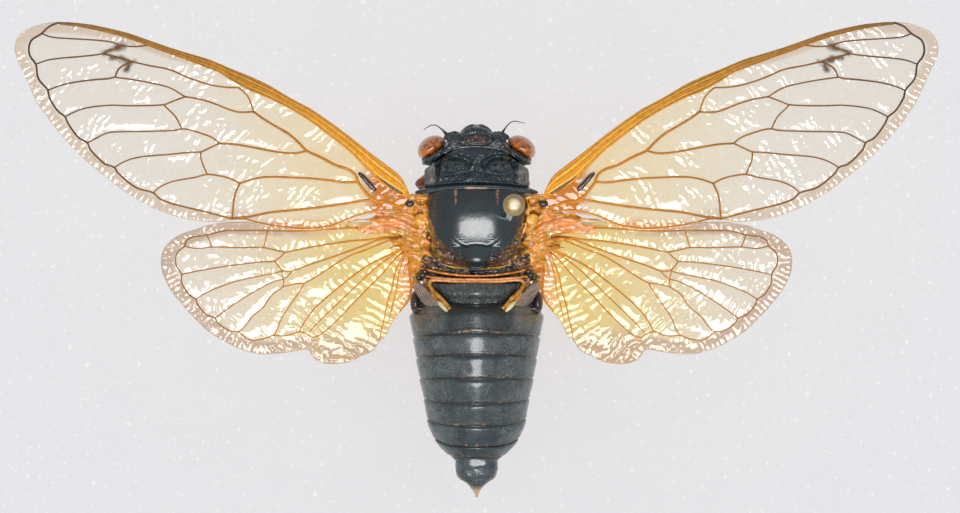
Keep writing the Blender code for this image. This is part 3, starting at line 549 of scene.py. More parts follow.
stemInner = (
    (409, 198), (401, 194.5), (390, 188), (378, 180), (370, 171), (350, 151), (330, 135.5), (310, 120.5),
    (290, 108.5), (270, 98.5), (250, 90.5), (232, 80.5), (220, 72.5), (200, 65), (180, 57.5), (160, 50.5),
    (140, 42.5), (120, 36), (100, 31), (80, 27), (60, 24.5),
)
hindJoints = {
    "rimA": (206, 235), "rimB": (183.5, 246), "rimC": (180.5, 274.5), "rimD": (195, 299.5),
    "rimE": (214, 318.5), "rimF": (238, 332.5), "rimG": (273, 335.5), "rimH": (298.5, 332),
    "fold": (311, 338), "radial": (285, 252), "median": (274, 261), "forkT": (282, 287), "forkU": (304, 283),
    "front": (267, 230.5), "cross": (211, 247), "inX": (292, 271), "inY": (281, 270), "inZ": (283, 279),
}
hindOutline = (
    (404, 226), (390, 222), (345, 222), (300, 223), (262, 222), (230, 221.5), (218, 223), (205, 225.5),
    (195, 229), (185, 232), (175, 236.5), (167, 243), (162, 250), (160, 258), (160, 266), (161, 272),
    (165, 282), (170, 291), (181, 305), (188, 313), (205, 330), (215, 337), (222, 341), (232, 346.5),
    (245, 351.5), (258, 354.5), (270, 354.5), (282, 353.5), (295, 351.5), (305, 350), (309, 352), (311, 356),
    (316, 361), (322, 363.5), (330, 364.5), (340, 364), (350, 362), (360, 357), (370, 352.5), (375, 348),
    (379, 341.5), (384, 338), (387, 333), (390, 326), (395, 318), (403, 309), (409, 301), (412, 291),
    (411, 275), (408, 255),
)
hindVeins = (
    (2.4, 2.0, "front", (240, 230.5), (222, 231), "rimA", (192, 237), (186, 240), "rimB", (176, 253),
        (174.7, 264), "rimC", (180.3, 282), (188, 295), "rimD", (196, 304), (205, 314.5), "rimE",
        (216.5, 323), (228, 331), "rimF", (247, 340), (262, 339.5), "rimG", (282, 336.5), (290, 335), "rimH",
        (307, 335), "fold"),
    (3.6, 2.4, (402, 236), (385, 232), (360, 228), (330, 229), (300, 231), "front"),
    (1.8, 1.8, "front", (263, 247)),
    (1.8, 1.8, "rimA", "cross"),
    (1.8, 3.0, "rimB", (195, 248.5), "cross", (240, 247.7), (262, 247.5), (272, 249.5), "radial", (300, 249),
        (320, 245.5), (350, 241), (370, 239.5), (385, 237), (400, 236)),
    (2.0, 1.8, "radial", "median", (260, 262), (235, 265), (220, 267), (195, 271.5), "rimC"),
    (2.0, 3.4, "median", "inY", "inX", (305, 266), (335, 256), (365, 245), (380, 239.5), (398, 237)),
    (1.8, 1.8, "inX", "inZ", "inY"),
    (1.8, 1.8, (281, 271), (275, 273), (260, 276), (245, 279), (230, 283), (205, 293), "rimD"),
    (1.8, 1.8, "inZ", (270, 283), (255, 291), (240, 300), (228, 308), "rimE"),
    (1.8, 1.8, "inZ", "forkT", (272, 294), (262, 308), (252, 316), (245, 325), "rimF"),
    (1.8, 3.0, "forkT", (295, 284), "forkU", (320, 274), (335, 264), (350, 255.5), (365, 250), (390, 240),
        (402, 238)),
    (1.8, 1.8, "forkU", (298, 293), (291, 303), (281, 318), (276, 330), "rimG"),
    (3.4, 1.8, (406, 244), (397, 251), (380, 259), (365, 267), (350, 278), (322, 301), (312, 311), (305, 320),
        "rimH"),
    (2.6, 1.6, (406, 247), (390, 257), (375, 268), (362, 280), (340, 301), (318, 322), (308, 333)),
    (2.6, 1.8, (407, 249), (400, 254), (392, 262), (380, 276), (360, 296), (340, 317), (320, 335), "fold"),
    (2.8, 1.8, (407, 252), (402, 258), (395, 272), (391, 290), (387, 303), (384, 318), (381, 330), (379, 341)),
    (2.2, 1.6, (404, 256), (399, 272), (396, 290), (391, 310), (388, 322)),
    (3.0, 2.0, (408, 255), (409, 275), (410, 292), (406, 303), (399, 312)),
)


# How high the wings lie: at the hinge, rise outward, slope back from the front edge
wingSet = {
    "fore": {
        "hinge": 26.9, "rise": 0.012, "slope": 0.05, "front": 5.0, "sweep": 0.48, "start": 5.5, "most": 19.0,
    },
    "hind": {"hinge": 25.4, "rise": 0.008, "slope": 0.04, "front": 2.8},
}


def foreLevel(u, v):
    look = wingSet["fore"]
    front = min(look["most"], look["front"] + look["sweep"] * (u - look["start"]))
    return look["hinge"] + look["rise"] * u - look["slope"] * (front - v)


def hindLevel(u, v):
    look = wingSet["hind"]
    return look["hinge"] + look["rise"] * u - look["slope"] * (look["front"] - v)


def route(points, joints):  # picture points and joint names, as millimetres
    return [spot(*(joints[p] if isinstance(p, str) else p)) for p in points]


veinSlim = {"fore": 0.78, "hind": 0.66}  # the widths were read with the veins' soft edges


def veinPaths(veins, joints, level, side, slim):
    paths = []
    for first, last, *points in veins:
        line = smoothLine(route(points, joints), 0.3)
        count = len(line) - 1
        path = []
        for k, (u, v) in enumerate(line):
            width = first + (last - first) * k / count
            radius = width * slim * photo["mmPerPixel"] / 2 * (1 + 0.12 * grain((u, v, side), 0.9))
            path.append((side * u, v, level(u, v), radius))
        paths.append(path)
    return paths


def nearTree(places):
    tree = kdtree.KDTree(len(places))
    for i, place in enumerate(places):
        tree.insert(place, i)
    tree.balance()
    return tree


wingLook = {
    "fore": {
        "spacing": 0.17, "thick": 0.07, "pillow": 0.05, "reach": 0.45, "wrinkle": 0.02, "wrinkleSize": 1.4,
        "border": 0.95, "rimFrom": 14.0, "ripple": 0.03, "rippleStep": 0.5,
    },
    "hind": {
        "spacing": 0.17, "thick": 0.06, "pillow": 0.06, "reach": 0.4, "wrinkle": 0.025, "wrinkleSize": 1.2,
        "border": 1.15, "rimFrom": 10.0, "ripple": 0.05, "rippleStep": 0.45,
    },
}
smokeLines = ((spot(105, 53.5), spot(123, 46)), (spot(112, 57), spot(133, 63), spot(127, 70)))


def nearLine(x, y, line):  # distance in plan from a line on the right half, mirrored
    best = 9.0
    here = Vector((abs(x), y))
    for a, b in zip(line, line[1:]):
        a, b = Vector(a), Vector(b)
        along = b - a
        share = clamp((here - a).dot(along) / along.length_squared)
        best = min(best, (here - a - along * share).length)
    return best


def foreTint(u, v, rim):
    root = fade(7.0, 27.0, u)
    colour = mixed(paint(251, 245, 234), paint(252, 234, 184), root)
    fog = 0.11 + 0.09 * root
    deep = fade(8.0, 9.6, u)
    colour = mixed(colour, paint(206, 118, 4), deep)
    fog += 0.66 * deep
    colour = mixed(colour, paint(232, 210, 184), rim * 0.8)
    fog += rim * (0.03 + 0.04 * ease(24.0, 36.0, u))
    smoke = min(nearLine(u, v, line) for line in smokeLines) + 0.2 * grain((u, v, 1.0), 0.4)
    cloud = fade(0.05, 0.42, smoke)
    colour = mixed(colour, paint(96, 70, 52), cloud)
    tail = fade(2.6, 3.4, v + 0.03 * (u - 12)) * fade(15.0, 20.0, u)
    colour = mixed(colour, paint(244, 168, 60), 0.7 * tail)
    px, py = photo["midX"] - u / photo["mmPerPixel"], photo["midY"] - v / photo["mmPerPixel"]
    edge = fade(-0.6, 0.8, py - heightAt(stemInner, px)) * fade(27.0, 33.0, u)
    colour = mixed(colour, paint(240, 160, 30), edge)
    return (*colour, min(0.95, fog + 0.45 * cloud + 0.1 * tail + 0.8 * edge))


def hindTint(u, v, rim):
    root = fade(6.0, 23.0, u)
    colour = mixed(paint(250, 240, 222), paint(248, 222, 112), root)
    fog = 0.12 + 0.1 * root
    lobe = ease(5.0, 7.5, -v) * fade(12.5, 13.6, u)
    colour = mixed(colour, paint(208, 176, 144), max(rim * 0.75, lobe * 0.8))
    fog += 0.07 * rim + 0.1 * lobe
    body = fade(5.2, 7.4, u) * ease(-1.0, 1.0, -v)
    colour = mixed(colour, paint(255, 176, 100), body)
    return (*colour, fog + 0.36 * body)


def makeFilm(name, side, outline, paths, level, look, tint, node):
    edge = smoothLine(route(list(outline) + [outline[0]], {}), look["spacing"])[:-1]
    count = len(edge)
    points = [Vector(p) for p in edge]
    low = [min(p[k] for p in edge) for k in (0, 1)]
    high = [max(p[k] for p in edge) for k in (0, 1)]
    step = look["spacing"]
    for row in range(1, int((high[1] - low[1]) / step / 0.87)):
        for column in range(1, int((high[0] - low[0]) / step)):
            points.append(Vector((low[0] + (column + 0.5 * (row % 2)) * step, low[1] + row * step * 0.87)))
    found = geometry.delaunay_2d_cdt(points, [], [list(range(count))], 1, 0.02)
    rimTree = nearTree([Vector((u, v, 0)) for u, v in edge])
    veinTree = nearTree([Vector((abs(point[0]), point[1], 0)) for path in paths for point in path])
    bm = bmesh.new()
    made = []
    for place in found[0]:
        u, v = place
        flat = Vector((u, v, 0))
        rimIndex, rimAway = rimTree.find(flat)[1:]
        away = veinTree.find(flat)[2]
        free = (1 - math.exp(-((away / look["reach"]) ** 2))) * ease(0.0, 0.5, rimAway)
        lift = look["pillow"] * free * (0.5 + 1.5 * grain((u, v, 3.0 * side), 3.2))
        lift += look["wrinkle"] * free * ripple(Vector((u, v, 5.0 * side)), look["wrinkleSize"], 3, 0.8, 2.2)
        outer = fade(0.75 * look["border"], look["border"] * 1.1, rimAway)
        pleat = math.sin(2 * math.pi * rimIndex * step / look["rippleStep"])
        lift += look["ripple"] * outer * ease(0.0, 0.25, away) * pleat
        made.append(bm.verts.new((side * u, v, level(u, v) + lift)))
    bm.verts.ensure_lookup_table()
    for triangle in found[2]:
        bm.faces.new([made[i] for i in triangle])
    loose = [v for v in bm.verts if not v.link_faces]
    bmesh.ops.delete(bm, geom=loose, context="VERTS")
    bmesh.ops.recalc_face_normals(bm, faces=bm.faces)
    bmesh.ops.solidify(bm, geom=bm.faces, thickness=look["thick"])

    def colour(co):
        u, v = abs(co.x), co.y
        away = rimTree.find(Vector((u, v, 0)))[2]
        rim = fade(0.8 * look["border"], look["border"] * 1.05, away)
        return tint(u, v, rim * ease(look["rimFrom"], look["rimFrom"] + 6.0, u - 0.3 * v))

    finishPiece(name, bm, wingFilms[node[:4]], [node], colour)


def heightAt(line, px):  # picture height of an edge line at this picture column
    for (ax, ay), (bx, by) in zip(line, line[1:]):
        if ax >= px >= bx:
            return ay + (by - ay) * (ax - px) / (ax - bx)
    return line[0][1] if px > line[0][0] else line[-1][1]


stem = {
    "from": 409, "to": 60, "columns": 86, "strands": (0.08, 0.3, 0.52, 0.74, 0.95),
    "swell": (0.9, 1.25, 1.3, 1.2, 1.0), "fit": 0.78, "share": 8.6, "thin": 0.05, "thick": 0.26, "arch": 0.16,
    "lift": 0.03,
}


def makeStem(name, side, node):  # the thick front edge of the forewing, in parallel strands
    groups = {"stem": [], "pale": []}
    for k, (share, swell) in enumerate(zip(stem["strands"], stem["swell"])):
        path = []
        for i in range(stem["columns"] + 1):
            px = stem["from"] - (stem["from"] - stem["to"]) * (i / stem["columns"])
            top, low = heightAt(stemOuter, px), heightAt(stemInner, px)
            u, v = spot(px, top + (low - top) * share)
            width = (low - top) * photo["mmPerPixel"] * stem["fit"]
            close = ease(0.0, 1.0, (stem["from"] - px) / 10)
            radius = clamp(width / stem["share"] * swell, stem["thin"], stem["thick"]) * (0.55 + 0.45 * close)
            arch = stem["arch"] * math.sin(math.pi * share) * min(1.0, width)
            path.append((side * u, v, foreLevel(u, v) + arch + stem["lift"], radius))
        # every second strand takes the paler finish, partly a painted highlight along the stem
        groups["pale" if k % 2 else "stem"].append(path)
    finishPiece(name + "Strands", tubes(groups["stem"]), veinStem, [node])
    finishPiece(name + "PaleSheenStrands", tubes(groups["pale"]), veinPaleAndSheen, [node])


for sideName, side in sides:
    wings = (
        ("fore", foreVeins, foreJoints, foreLevel, foreOutline, foreTint),
        ("hind", hindVeins, hindJoints, hindLevel, hindOutline, hindTint),
    )
    paths = {}
    for kind, veins, joints, level, outline, tint in wings:
        paths[kind] = veinPaths(veins, joints, level, side, veinSlim[kind])
        node = kind + "wing_" + sideName.lower()
        makeFilm(kind + "Film" + sideName, side, outline, paths[kind], level, wingLook[kind], tint, node)
    for kind in paths:
        node = kind + "wing_" + sideName.lower()
        finishPiece(kind + "Veins" + sideName, tubes(paths[kind]), veinBrown, [node])
    makeStem("foreStem" + sideName, side, "forewing_" + sideName.lower())
print("wings made")


# Body: forward places are millimetres from the picture's middle, just ahead of the waist

thoraxForm = {
    "rows": (
        (-2.6, 4.2, 25.6, 20.9), (-1.2, 4.5, 25.9, 20.5), (0.6, 4.45, 26.1, 20.4), (2.6, 4.3, 26.4, 20.5),
        (4.6, 4.2, 26.6, 20.8), (6.4, 3.9, 26.6, 21.3), (7.6, 3.4, 26.4, 22.0), (8.5, 2.5, 26.0, 23.0),
    ),
    "front": 8.5, "length": 11.1, "power": 2.3, "round": 0.06, "groove": 0.16,
    "seams": (6.6, 4.9, 2.9, 1.0, -0.8),  # forward places, halfway up the side
}
abdomenForm = {
    "rows": (
        (-19.0, 1.0, 24.0, 23.0), (-17.0, 1.75, 25.0, 22.4), (-16.4, 2.2, 25.35, 22.2),
        (-15.6, 3.0, 25.85, 21.6), (-14.1, 3.84, 26.6, 20.9), (-11.7, 4.3, 27.45, 20.2),
        (-10.0, 4.65, 27.88, 20.0), (-8.5, 4.9, 28.14, 19.8), (-6.5, 5.2, 28.36, 19.7),
        (-4.9, 5.45, 28.4, 19.8), (-4.3, 5.3, 28.34, 20.0), (-4.05, 5.25, 28.1, 20.05),
        (-3.8, 5.2, 27.2, 20.1), (-3.0, 4.9, 26.6, 20.2), (-1.5, 4.2, 26.2, 20.7),
    ),
    "seamsMiddle": (-4.55, -6.3, -8.0, -9.92, -11.95, -13.8, -15.5, -16.4),
    "seamsSide": (-4.6, -6.55, -8.25, -9.9, -11.55, -13.2, -14.85, -16.25),
    # each seam's forward bulge on the back: height, and width as a share of the half ring
    "peaks": (
        (0.6, 0.55), (0.16, 0.35), (0.05, 0.4), (0.03, 0.4), (0.0, 0.4), (0.0, 0.4), (0.0, 0.4), (0.0, 0.4),
    ),
    "keel": 0.55, "keelWidth": 1.6, "keelRound": 0.35, "settle": 0.26,
    "steps": (0.0, 0.05, 0.12, 0.22, 0.36, 0.5, 0.64, 0.78, 0.88, 0.94, 0.975, 1.0), "tuck": 0.12,
    "swell": 0.09, "lip": 0.03,
    # where the rings start, and the rows of the plain front end and of the closed rear end
    "start": -1.5, "lead": 10, "trail": 7,
}


def bodyRing(rows, forward, turn, power, swell=0.0):
    half, crown, under = rowAt(rows, forward)
    middle = under + 0.52 * (crown - under)
    x, z = section(turn, half + swell, crown + swell, under - swell, middle, power)
    return Vector((x, forward, z))


def thoraxShape(front, turn):
    form = thoraxForm
    forward = form["front"] - form["length"] * clamp(front)
    end = min(front, 1 - front)
    shrink = math.sqrt(max(0.0, 1 - (1 - clamp(end / form["round"])) ** 2))
    place = bodyRing(form["rows"], forward, turn, form["power"])
    middle = Vector((0, forward, 23.8))
    return middle + (place - middle) * shrink


def thoraxDepth(co, normal):  # side plates parted by slanting seams
    slant = co.y + 0.35 * (co.z - 23.0)
    seams = max(hump(s, 0.22, slant) for s in thoraxForm["seams"])
    keel = hump(22.6 + 0.3 * math.sin(co.y), 0.25, co.z) * ease(2.0, 3.6, abs(co.x))
    return -thoraxForm["groove"] * max(seams, 0.7 * keel) + 0.05 * ripple(co, 0.8, 4)


def bodyTint(co):
    amber = ease(0.05, 0.3, grain(co, 1.3, 4.0)) * ease(-26.2, -24.6, -co.z)
    edge = ease(0.1, 0.4, grain(co, 0.7, 9.0)) * ease(3.2, 4.2, abs(co.x))
    return mixed(mixed(colours["black"], colours["rust"], 0.75 * amber), colours["amber"], 0.6 * edge)


thorax = pushed(pod(96, 120, thoraxShape), thoraxDepth)
finishPiece("thoraxWall", thorax, bodyShell, ["thorax"], bodyTint)


def seamPlace(index, side, out):  # side: how far down the flank; out: how far from the midline
    form = abdomenForm
    middle, flank = form["seamsMiddle"][index], form["seamsSide"][index]
    height, width = form["peaks"][index]
    return middle + (flank - middle) * side + height * (1 - side) * fade(0.0, width, out)


def roofed(x, height, width, rounding):  # a soft keel along the midline
    return height * math.exp(-math.hypot(x, rounding) / width)


def abdomenShape(front, turn):
    form = abdomenForm
    steps = form["steps"]
    seams = len(form["seamsMiddle"])
    total = (seams - 1) * (len(steps) - 1)
    lead, trail = form["lead"], form["trail"]
    row = front * (total + lead + trail)
    side = fade(0.0, 0.95, math.sin(turn))
    out = abs(math.cos(turn))
    if row < lead:
        share = row / lead
        forward = form["start"] + (seamPlace(0, side, out) - form["start"]) * share
        shrink = math.sqrt(max(0.0, 1 - (1 - clamp(share / 0.4)) ** 2))
        place = bodyRing(form["rows"], forward, turn, 2.3, -form["tuck"])
        middle = Vector((0, forward, 23.6))
        return middle + (place - middle) * shrink
    row -= lead
    if row > total:
        share = (row - total) / trail
        forward = seamPlace(seams - 1, side, out) - 0.9 * share
        place = bodyRing(form["rows"], forward, turn, 2.3, -form["tuck"])
        middle = Vector((0, forward, 23.9))
        return middle + (place - middle) * math.sqrt(max(0.0, 1 - clamp((share - 0.5) / 0.5) ** 2))
    plate = min(int(row / (len(steps) - 1)), seams - 2)
    within = row - plate * (len(steps) - 1)
    k = min(int(within), len(steps) - 2)
    f = steps[k] + (steps[k + 1] - steps[k]) * (within - k)
    a, b = seamPlace(plate, side, out), seamPlace(plate + 1, side, out)
    forward = a + (b - a) * f
    tuck = form["tuck"] * (1 - 0.45 * side)
    swell = -tuck * fade(0.0, 0.16, f) + form["swell"] * (1 - f) * ease(0.0, 0.16, f)
    swell += form["lip"] * hump(0.93, 0.08, f) - tuck * ease(0.965, 1.0, f)
    place = bodyRing(form["rows"], forward, turn, 2.2, swell)
    keel = roofed(place.x, form["keel"], form["keelWidth"], form["keelRound"]) - form["settle"]
    place.z += keel * ease(0.0, 0.5, math.sin(turn))
    fold = hump(22.3, 0.5, place.z) * ease(-0.3, 0.3, -math.sin(turn))
    return place + Vector((-math.copysign(0.22 * fold, place.x), 0, 0))


def seamShare(co):  # shares of a tergite's rear edge and of the groove behind it
    form = abdomenForm
    half, crown, under = rowAt(form["rows"], co.y)
    side = fade(0.0, 0.95, (co.z - under) / (crown - under) * 2 - 1)
    out = clamp(abs(co.x) / half) ** 1.1
    best, groove = 0.0, 0.0
    for index in range(1, len(form["seamsMiddle"])):
        ahead = co.y - seamPlace(index, side, out)
        best = max(best, fade(0.1, 0.24, ahead) * ease(0.02, 0.07, ahead))
        groove = max(groove, fade(0.03, 0.1, abs(ahead + 0.03)))
    return best, groove


def abdomenTint(co):
    seam, groove = seamShare(co)
    colour = mixed(paint(46, 60, 64), paint(12, 28, 36), 0.5 + 0.6 * grain(co, 1.1, 2.0))
    front = ease(-6.35, -6.1, co.y) * fade(2.2, 3.4, abs(co.x) + 0.7 * grain(co, 0.9, 5.0))
    colour = mixed(colour, paint(6, 22, 24), 0.9 * front)
    dust = (0.34 + 0.86 * ease(0.8, 2.8, abs(co.x) + 0.8 * grain(co, 1.2, 15.0))) * (1 - front)
    dust *= clamp(1.0 + 0.9 * grain((0.3 * co.x, co.y, co.z), 0.35, 4.0), 0.3, 1.6)
    shoulder = ease(2.6, 3.6, abs(co.x)) * hump(-4.9, 1.5, co.y)
    colour = mixed(colour, paint(104, 78, 48), 0.7 * shoulder * clamp(0.9 + 0.8 * grain(co, 0.5, 8.0)))
    mottle = ease(0.05, 0.3, grain(co, 0.28, 12.0)) * ease(1.6, 3.4, abs(co.x))
    colour = mixed(colour, paint(112, 106, 92), 0.35 * mottle)
    belly = ease(-22.6, -21.8, -co.z)
    colour = mixed(colour, colours["rust"], belly * (0.25 + 0.5 * ease(0.0, 0.4, grain(co, 0.9, 3.0))))
    rust = seam * (0.85 - 0.6 * ease(1.3, 3.0, abs(co.x))) * ease(-0.3, 0.3, grain(co, 0.3, 6.0))
    fleck = mixed(paint(84, 50, 26), paint(184, 138, 92), ease(0.0, 0.4, grain(co, 0.2, 9.0)))
    colour = mixed(colour, fleck, clamp(rust))
    return (*mixed(colour, paint(8, 10, 12), 0.9 * groove), dust * (1 - seam) * (1 - groove))


rings = (len(abdomenForm["seamsMiddle"]) - 1) * (len(abdomenForm["steps"]) - 1)
abdomen = pod(160, rings + abdomenForm["lead"] + abdomenForm["trail"], abdomenShape)
abdomen = rippled(abdomen, 0.02, 0.5)
finishPiece("abdomenRings", abdomen, abdomenShell, ["abdomen"], abdomenTint)

pygoferForm = {
    "rows": (
        (-19.68, 0.06, 23.95, 23.6), (-19.2, 0.32, 24.2, 23.2), (-18.85, 0.6, 24.4, 22.95),
        (-18.5, 1.0, 24.55, 22.7), (-18.25, 1.4, 24.65, 22.45), (-18.0, 1.62, 24.75, 22.3),
        (-17.5, 1.72, 24.9, 22.3), (-16.9, 1.76, 25.1, 22.4), (-16.2, 1.7, 25.1, 22.6),
    ),
    "front": -16.2, "length": 3.48,
}


def pygoferShape(front, turn):
    forward = pygoferForm["front"] - pygoferForm["length"] * front
    shrink = math.sqrt(max(0.0, 1 - (1 - clamp(min(front, 1 - front) / 0.05)) ** 2))
    place = bodyRing(pygoferForm["rows"], forward, turn, 2.2)
    middle = Vector((0, forward, 23.75))
    return middle + (place - middle) * shrink


def pygoferTint(co):
    colour = mixed(colours["blue"], colours["slate"], 0.35 + grain(co, 0.6))
    colour = mixed(colour, colours["rust"], 0.6 * ease(0.9, 1.6, abs(co.x)) * ease(17.6, 18.3, -co.y))
    return mixed(colour, paint(196, 150, 98), ease(18.7, 19.3, -co.y))


def pygoferDepth(co, normal):  # rippled, with a groove along the back
    return 0.04 * ripple(co, 0.5) - 0.12 * hump(0.0, 0.16, co.x) * ease(17.0, 18.4, -co.y)


pygofer = pushed(pod(72, 70, pygoferShape), pygoferDepth)
finishPiece("pygoferTip", pygofer, abdomenShell, ["pygofer"], pygoferTint)


def makePlate(rows, across, along, height, floor, pull):
    # A grid bent to the plate's plan, with its rim carried down to the floor and closed.
    # Each row: share from front to rear, middle's place, half width, side's place, bend.
    # height takes x, y, the share of the half width and the share from front to rear.
    bm = bmesh.new()
    bmesh.ops.create_grid(bm, x_segments=across, y_segments=along, size=1.0)
    for v in bm.verts:
        s, t = v.co.x, (1 - v.co.y) / 2
        middle, half, end, power = rowAt(rows, t)
        x = s * half
        y = middle + (end - middle) * abs(s) ** max(power, 1.0)
        v.co = Vector((x, y, height(x, y, abs(s), t)))
    rim = [e for e in bm.edges if e.is_boundary]
    for depth, inward in ((0.3, 0.995), (None, pull)):
        grown = bmesh.ops.extrude_edge_only(bm, edges=rim)["geom"]
        low = [g for g in grown if isinstance(g, bmesh.types.BMVert)]
        rim = [g for g in grown if isinstance(g, bmesh.types.BMEdge) and g.is_boundary]
        for v in low:  # a short step down first, then to the floor
            v.co.z = floor if depth is None else max(floor + 0.1, v.co.z - depth)
            v.co.x *= inward
    bmesh.ops.edgeloop_fill(bm, edges=rim)
    return bm


def crownAt(levels, y):
    return rowAt(levels, y)[0]


def dome(levels, half, edge, x, y, power=2.2):
    return edge + (crownAt(levels, y) - edge) * (1 - clamp(abs(x) / half) ** power)


# Pronotum: a raised saddle, ovals ringed by furrows, flat side lobes and a thin flared collar
pronotumForm = {
    "levels": ((5.0, 29.05), (5.9, 29.0), (7.0, 28.75), (8.0, 28.4), (8.75, 28.12), (9.0, 27.9)),
    "rows": (
        (0.0, 9.0, 2.9, 7.9, 2.2), (0.1, 8.6, 3.6, 7.4, 2.8), (0.2, 8.1, 4.12, 7.15, 3.2),
        (0.35, 7.5, 4.24, 6.85, 2.6), (0.55, 6.8, 4.27, 6.35, 2.0), (0.74, 6.12, 4.22, 5.85, 1.8),
        (0.83, 5.86, 4.32, 5.6, 1.8), (0.91, 5.74, 5.0, 5.28, 2.2), (1.0, 5.5, 4.8, 5.0, 2.2),
    ),
    "oval": (1.93, 7.25, 1.1, 0.6),
    # furrows on the right half: depth, width, then the line
    "furrows": (
        (0.3, 0.4, ((0.5, 7.62), (1.15, 7.93), (1.9, 8.05), (2.6, 7.98), (3.15, 7.6))),
        (0.26, 0.42, ((0.62, 7.4), (0.95, 6.9), (1.65, 6.62), (2.5, 6.66), (3.0, 6.95), (3.2, 7.5))),
        (0.18, 0.4, ((0.3, 6.95), (0.95, 6.6), (1.5, 6.2), (2.6, 6.12))),
        (0.3, 0.34, ((3.12, 7.45), (3.22, 6.9), (3.2, 6.3), (3.3, 5.75))),
        (0.16, 0.2, ((1.45, 7.2), (1.9, 7.05), (2.4, 7.15))),
    ),
    "pits": ((2.35, 8.08, 0.3), (2.75, 7.9, 0.22), (1.55, 7.45, 0.16), (2.3, 7.35, 0.2)),
}


def pronotumHeight(x, y, s, t):
    form = pronotumForm
    z = dome(form["levels"], 5.35, 26.0, x, y)
    bend = 0.24 * grain((x, y, 2.0), 1.6)
    side, y0 = abs(x) + bend, y + 0.24 * grain((x, y, 6.0), 1.5)
    ox, oy, rx, ry = form["oval"]
    oval = math.hypot((side - ox) / rx, (y0 - oy + 0.12 * (side - ox)) / ry)
    z += 0.3 * fade(0.2, 1.15, oval) + 0.16 * fade(0.3, 1.1, math.hypot(x / 1.5, (y - 8.2) / 0.6))
    front = fade(0.7, 0.8, t)
    for deep, width, line in form["furrows"]:
        z -= deep * front * fade(0.0, width, nearLine(side, y0, line))
    for px, py, radius in form["pits"]:
        z -= 0.22 * fade(0.2 * radius, radius, math.hypot(side - px, y0 - py))
    z += 0.14 * fade(0.2, 1.0, math.hypot(x / 1.0, (y - 6.2) / 0.42))
    z += 0.1 * hump(0.0, 0.25, x) * hump(7.2, 0.9, y)
    z -= 0.26 * hump(0.82, 0.055, t) - 0.14 * hump(0.92, 0.07, t)
    rugged = 1 - 0.85 * ease(0.84, 0.9, t)
    z += 0.075 * rugged * crumple(Vector((x, y, 0)), 0.34)
    return z + 0.03 * rugged * ripple(Vector((x, y, 4.0)), 0.14, 3, 0.9, 2.1)


def pronotumTint(co):
    side = abs(co.x)
    lobe = ease(3.2, 3.5, side) * ease(5.75, 6.0, co.y)
    colour = mixed(colours["blue"], paint(30, 46, 52), clamp(0.4 + 0.9 * grain(co, 0.8, 1.0)))
    lobe *= clamp(0.75 + 0.9 * grain((co.x, co.y * 0.4, 1.0), 0.2))
    colour = mixed(colour, paint(112, 107, 102), lobe)
    collar = fade(5.6, 5.8, co.y + 0.022 * co.x * co.x)
    colour = mixed(colour, paint(72, 78, 80), 0.6 * collar)
    # painted highlight: a pale pink glint line along the middle of the collar's rear rim
    middle = fade(5.56, 5.62, co.y) * fade(0.6, 1.0, side)
    colour = mixed(colour, paint(222, 176, 160), 0.9 * middle)
    pit = fade(0.1, 0.34, math.hypot(side - 2.5, (co.y - 8.0) * 1.3))
    return mixed(colour, colours["gold"], 0.55 * pit * ease(-0.1, 0.2, grain(co, 0.16, 3.0)))


pronotum = makePlate(pronotumForm["rows"], 280, 170, pronotumHeight, 25.0, 0.93)
finishPiece("pronotumShield", pronotum, bodyShell, ["pronotum"], pronotumTint)

# Mesonotum: a glossy dome that ends in the cross-shaped ridge, a gold-brown field and a yellow arc
mesonotumForm = {
    "levels": (
        (-1.5, 27.2), (-1.1, 27.45), (-0.4, 28.0), (0.3, 28.5), (0.6, 28.72), (0.85, 28.88), (1.4, 29.08),
        (2.0, 29.24), (3.0, 29.42), (3.8, 29.44), (5.2, 29.22), (5.5, 28.92), (5.7, 28.7),
    ),
    "crease": ((0.0, 0.98), (0.5, 0.94), (0.85, 0.87), (1.4, 1.12), (1.85, 1.5), (2.4, 1.95)),
    "spine": (
        (-1.3, 27.2), (-1.1, 27.4), (-0.8, 27.76), (-0.6, 27.96), (-0.45, 28.06), (-0.3, 28.11),
        (-0.15, 28.15), (0.0, 28.22), (0.2, 28.34), (0.5, 28.52), (0.8, 28.7), (1.0, 28.82),
    ),
    "streaks": (((1.75, 1.52), (1.15, 1.78)), ((1.7, 1.45), (0.95, 1.56)), ((1.6, 1.34), (1.0, 1.32))),
    "rows": (
        (0.0, 5.7, 3.4, 5.2, 2.0), (0.06, 5.3, 3.85, 4.95, 2.0), (0.16, 4.7, 4.15, 4.4, 2.0),
        (0.3, 3.7, 4.12, 3.5, 2.0), (0.42, 2.8, 3.95, 2.7, 2.0), (0.54, 1.9, 3.72, 1.9, 2.0),
        (0.64, 1.15, 3.6, 1.4, 2.0), (0.74, 0.45, 3.7, 1.0, 2.0), (0.86, -0.35, 4.0, 0.75, 2.2),
        (1.0, -1.22, 4.15, 0.42, 2.4),
    ),
    "domeSide": (
        (-0.2, 0.6), (0.3, 1.9), (0.55, 2.3), (1.2, 2.95), (2.1, 3.5), (3.2, 3.9), (4.3, 4.05), (5.0, 3.9),
        (5.6, 3.6),
    ),
    "arc": (
        (0.0, -1.12), (1.2, -0.95), (2.15, -0.86), (2.95, -0.56), (3.55, -0.15), (3.95, 0.42), (4.2, 1.0),
    ),
    "arm": ((0.45, 0.35), (0.95, 0.62), (1.85, 0.72)), "rearArm": ((0.45, -0.1), (0.85, -0.45), (1.6, -0.7)),
}


def domeShare(x, y):  # 1 on the dark dome, 0 on the gold-brown field beside it
    half = rowAt(mesonotumForm["domeSide"], y)[0]
    return fade(half - 0.08, half + 0.1, abs(x) + 0.1 * grain((x, y, 3.0), 0.5))


def arcAway(x, y):
    return abs(y - rowAt(mesonotumForm["arc"], abs(x))[0])


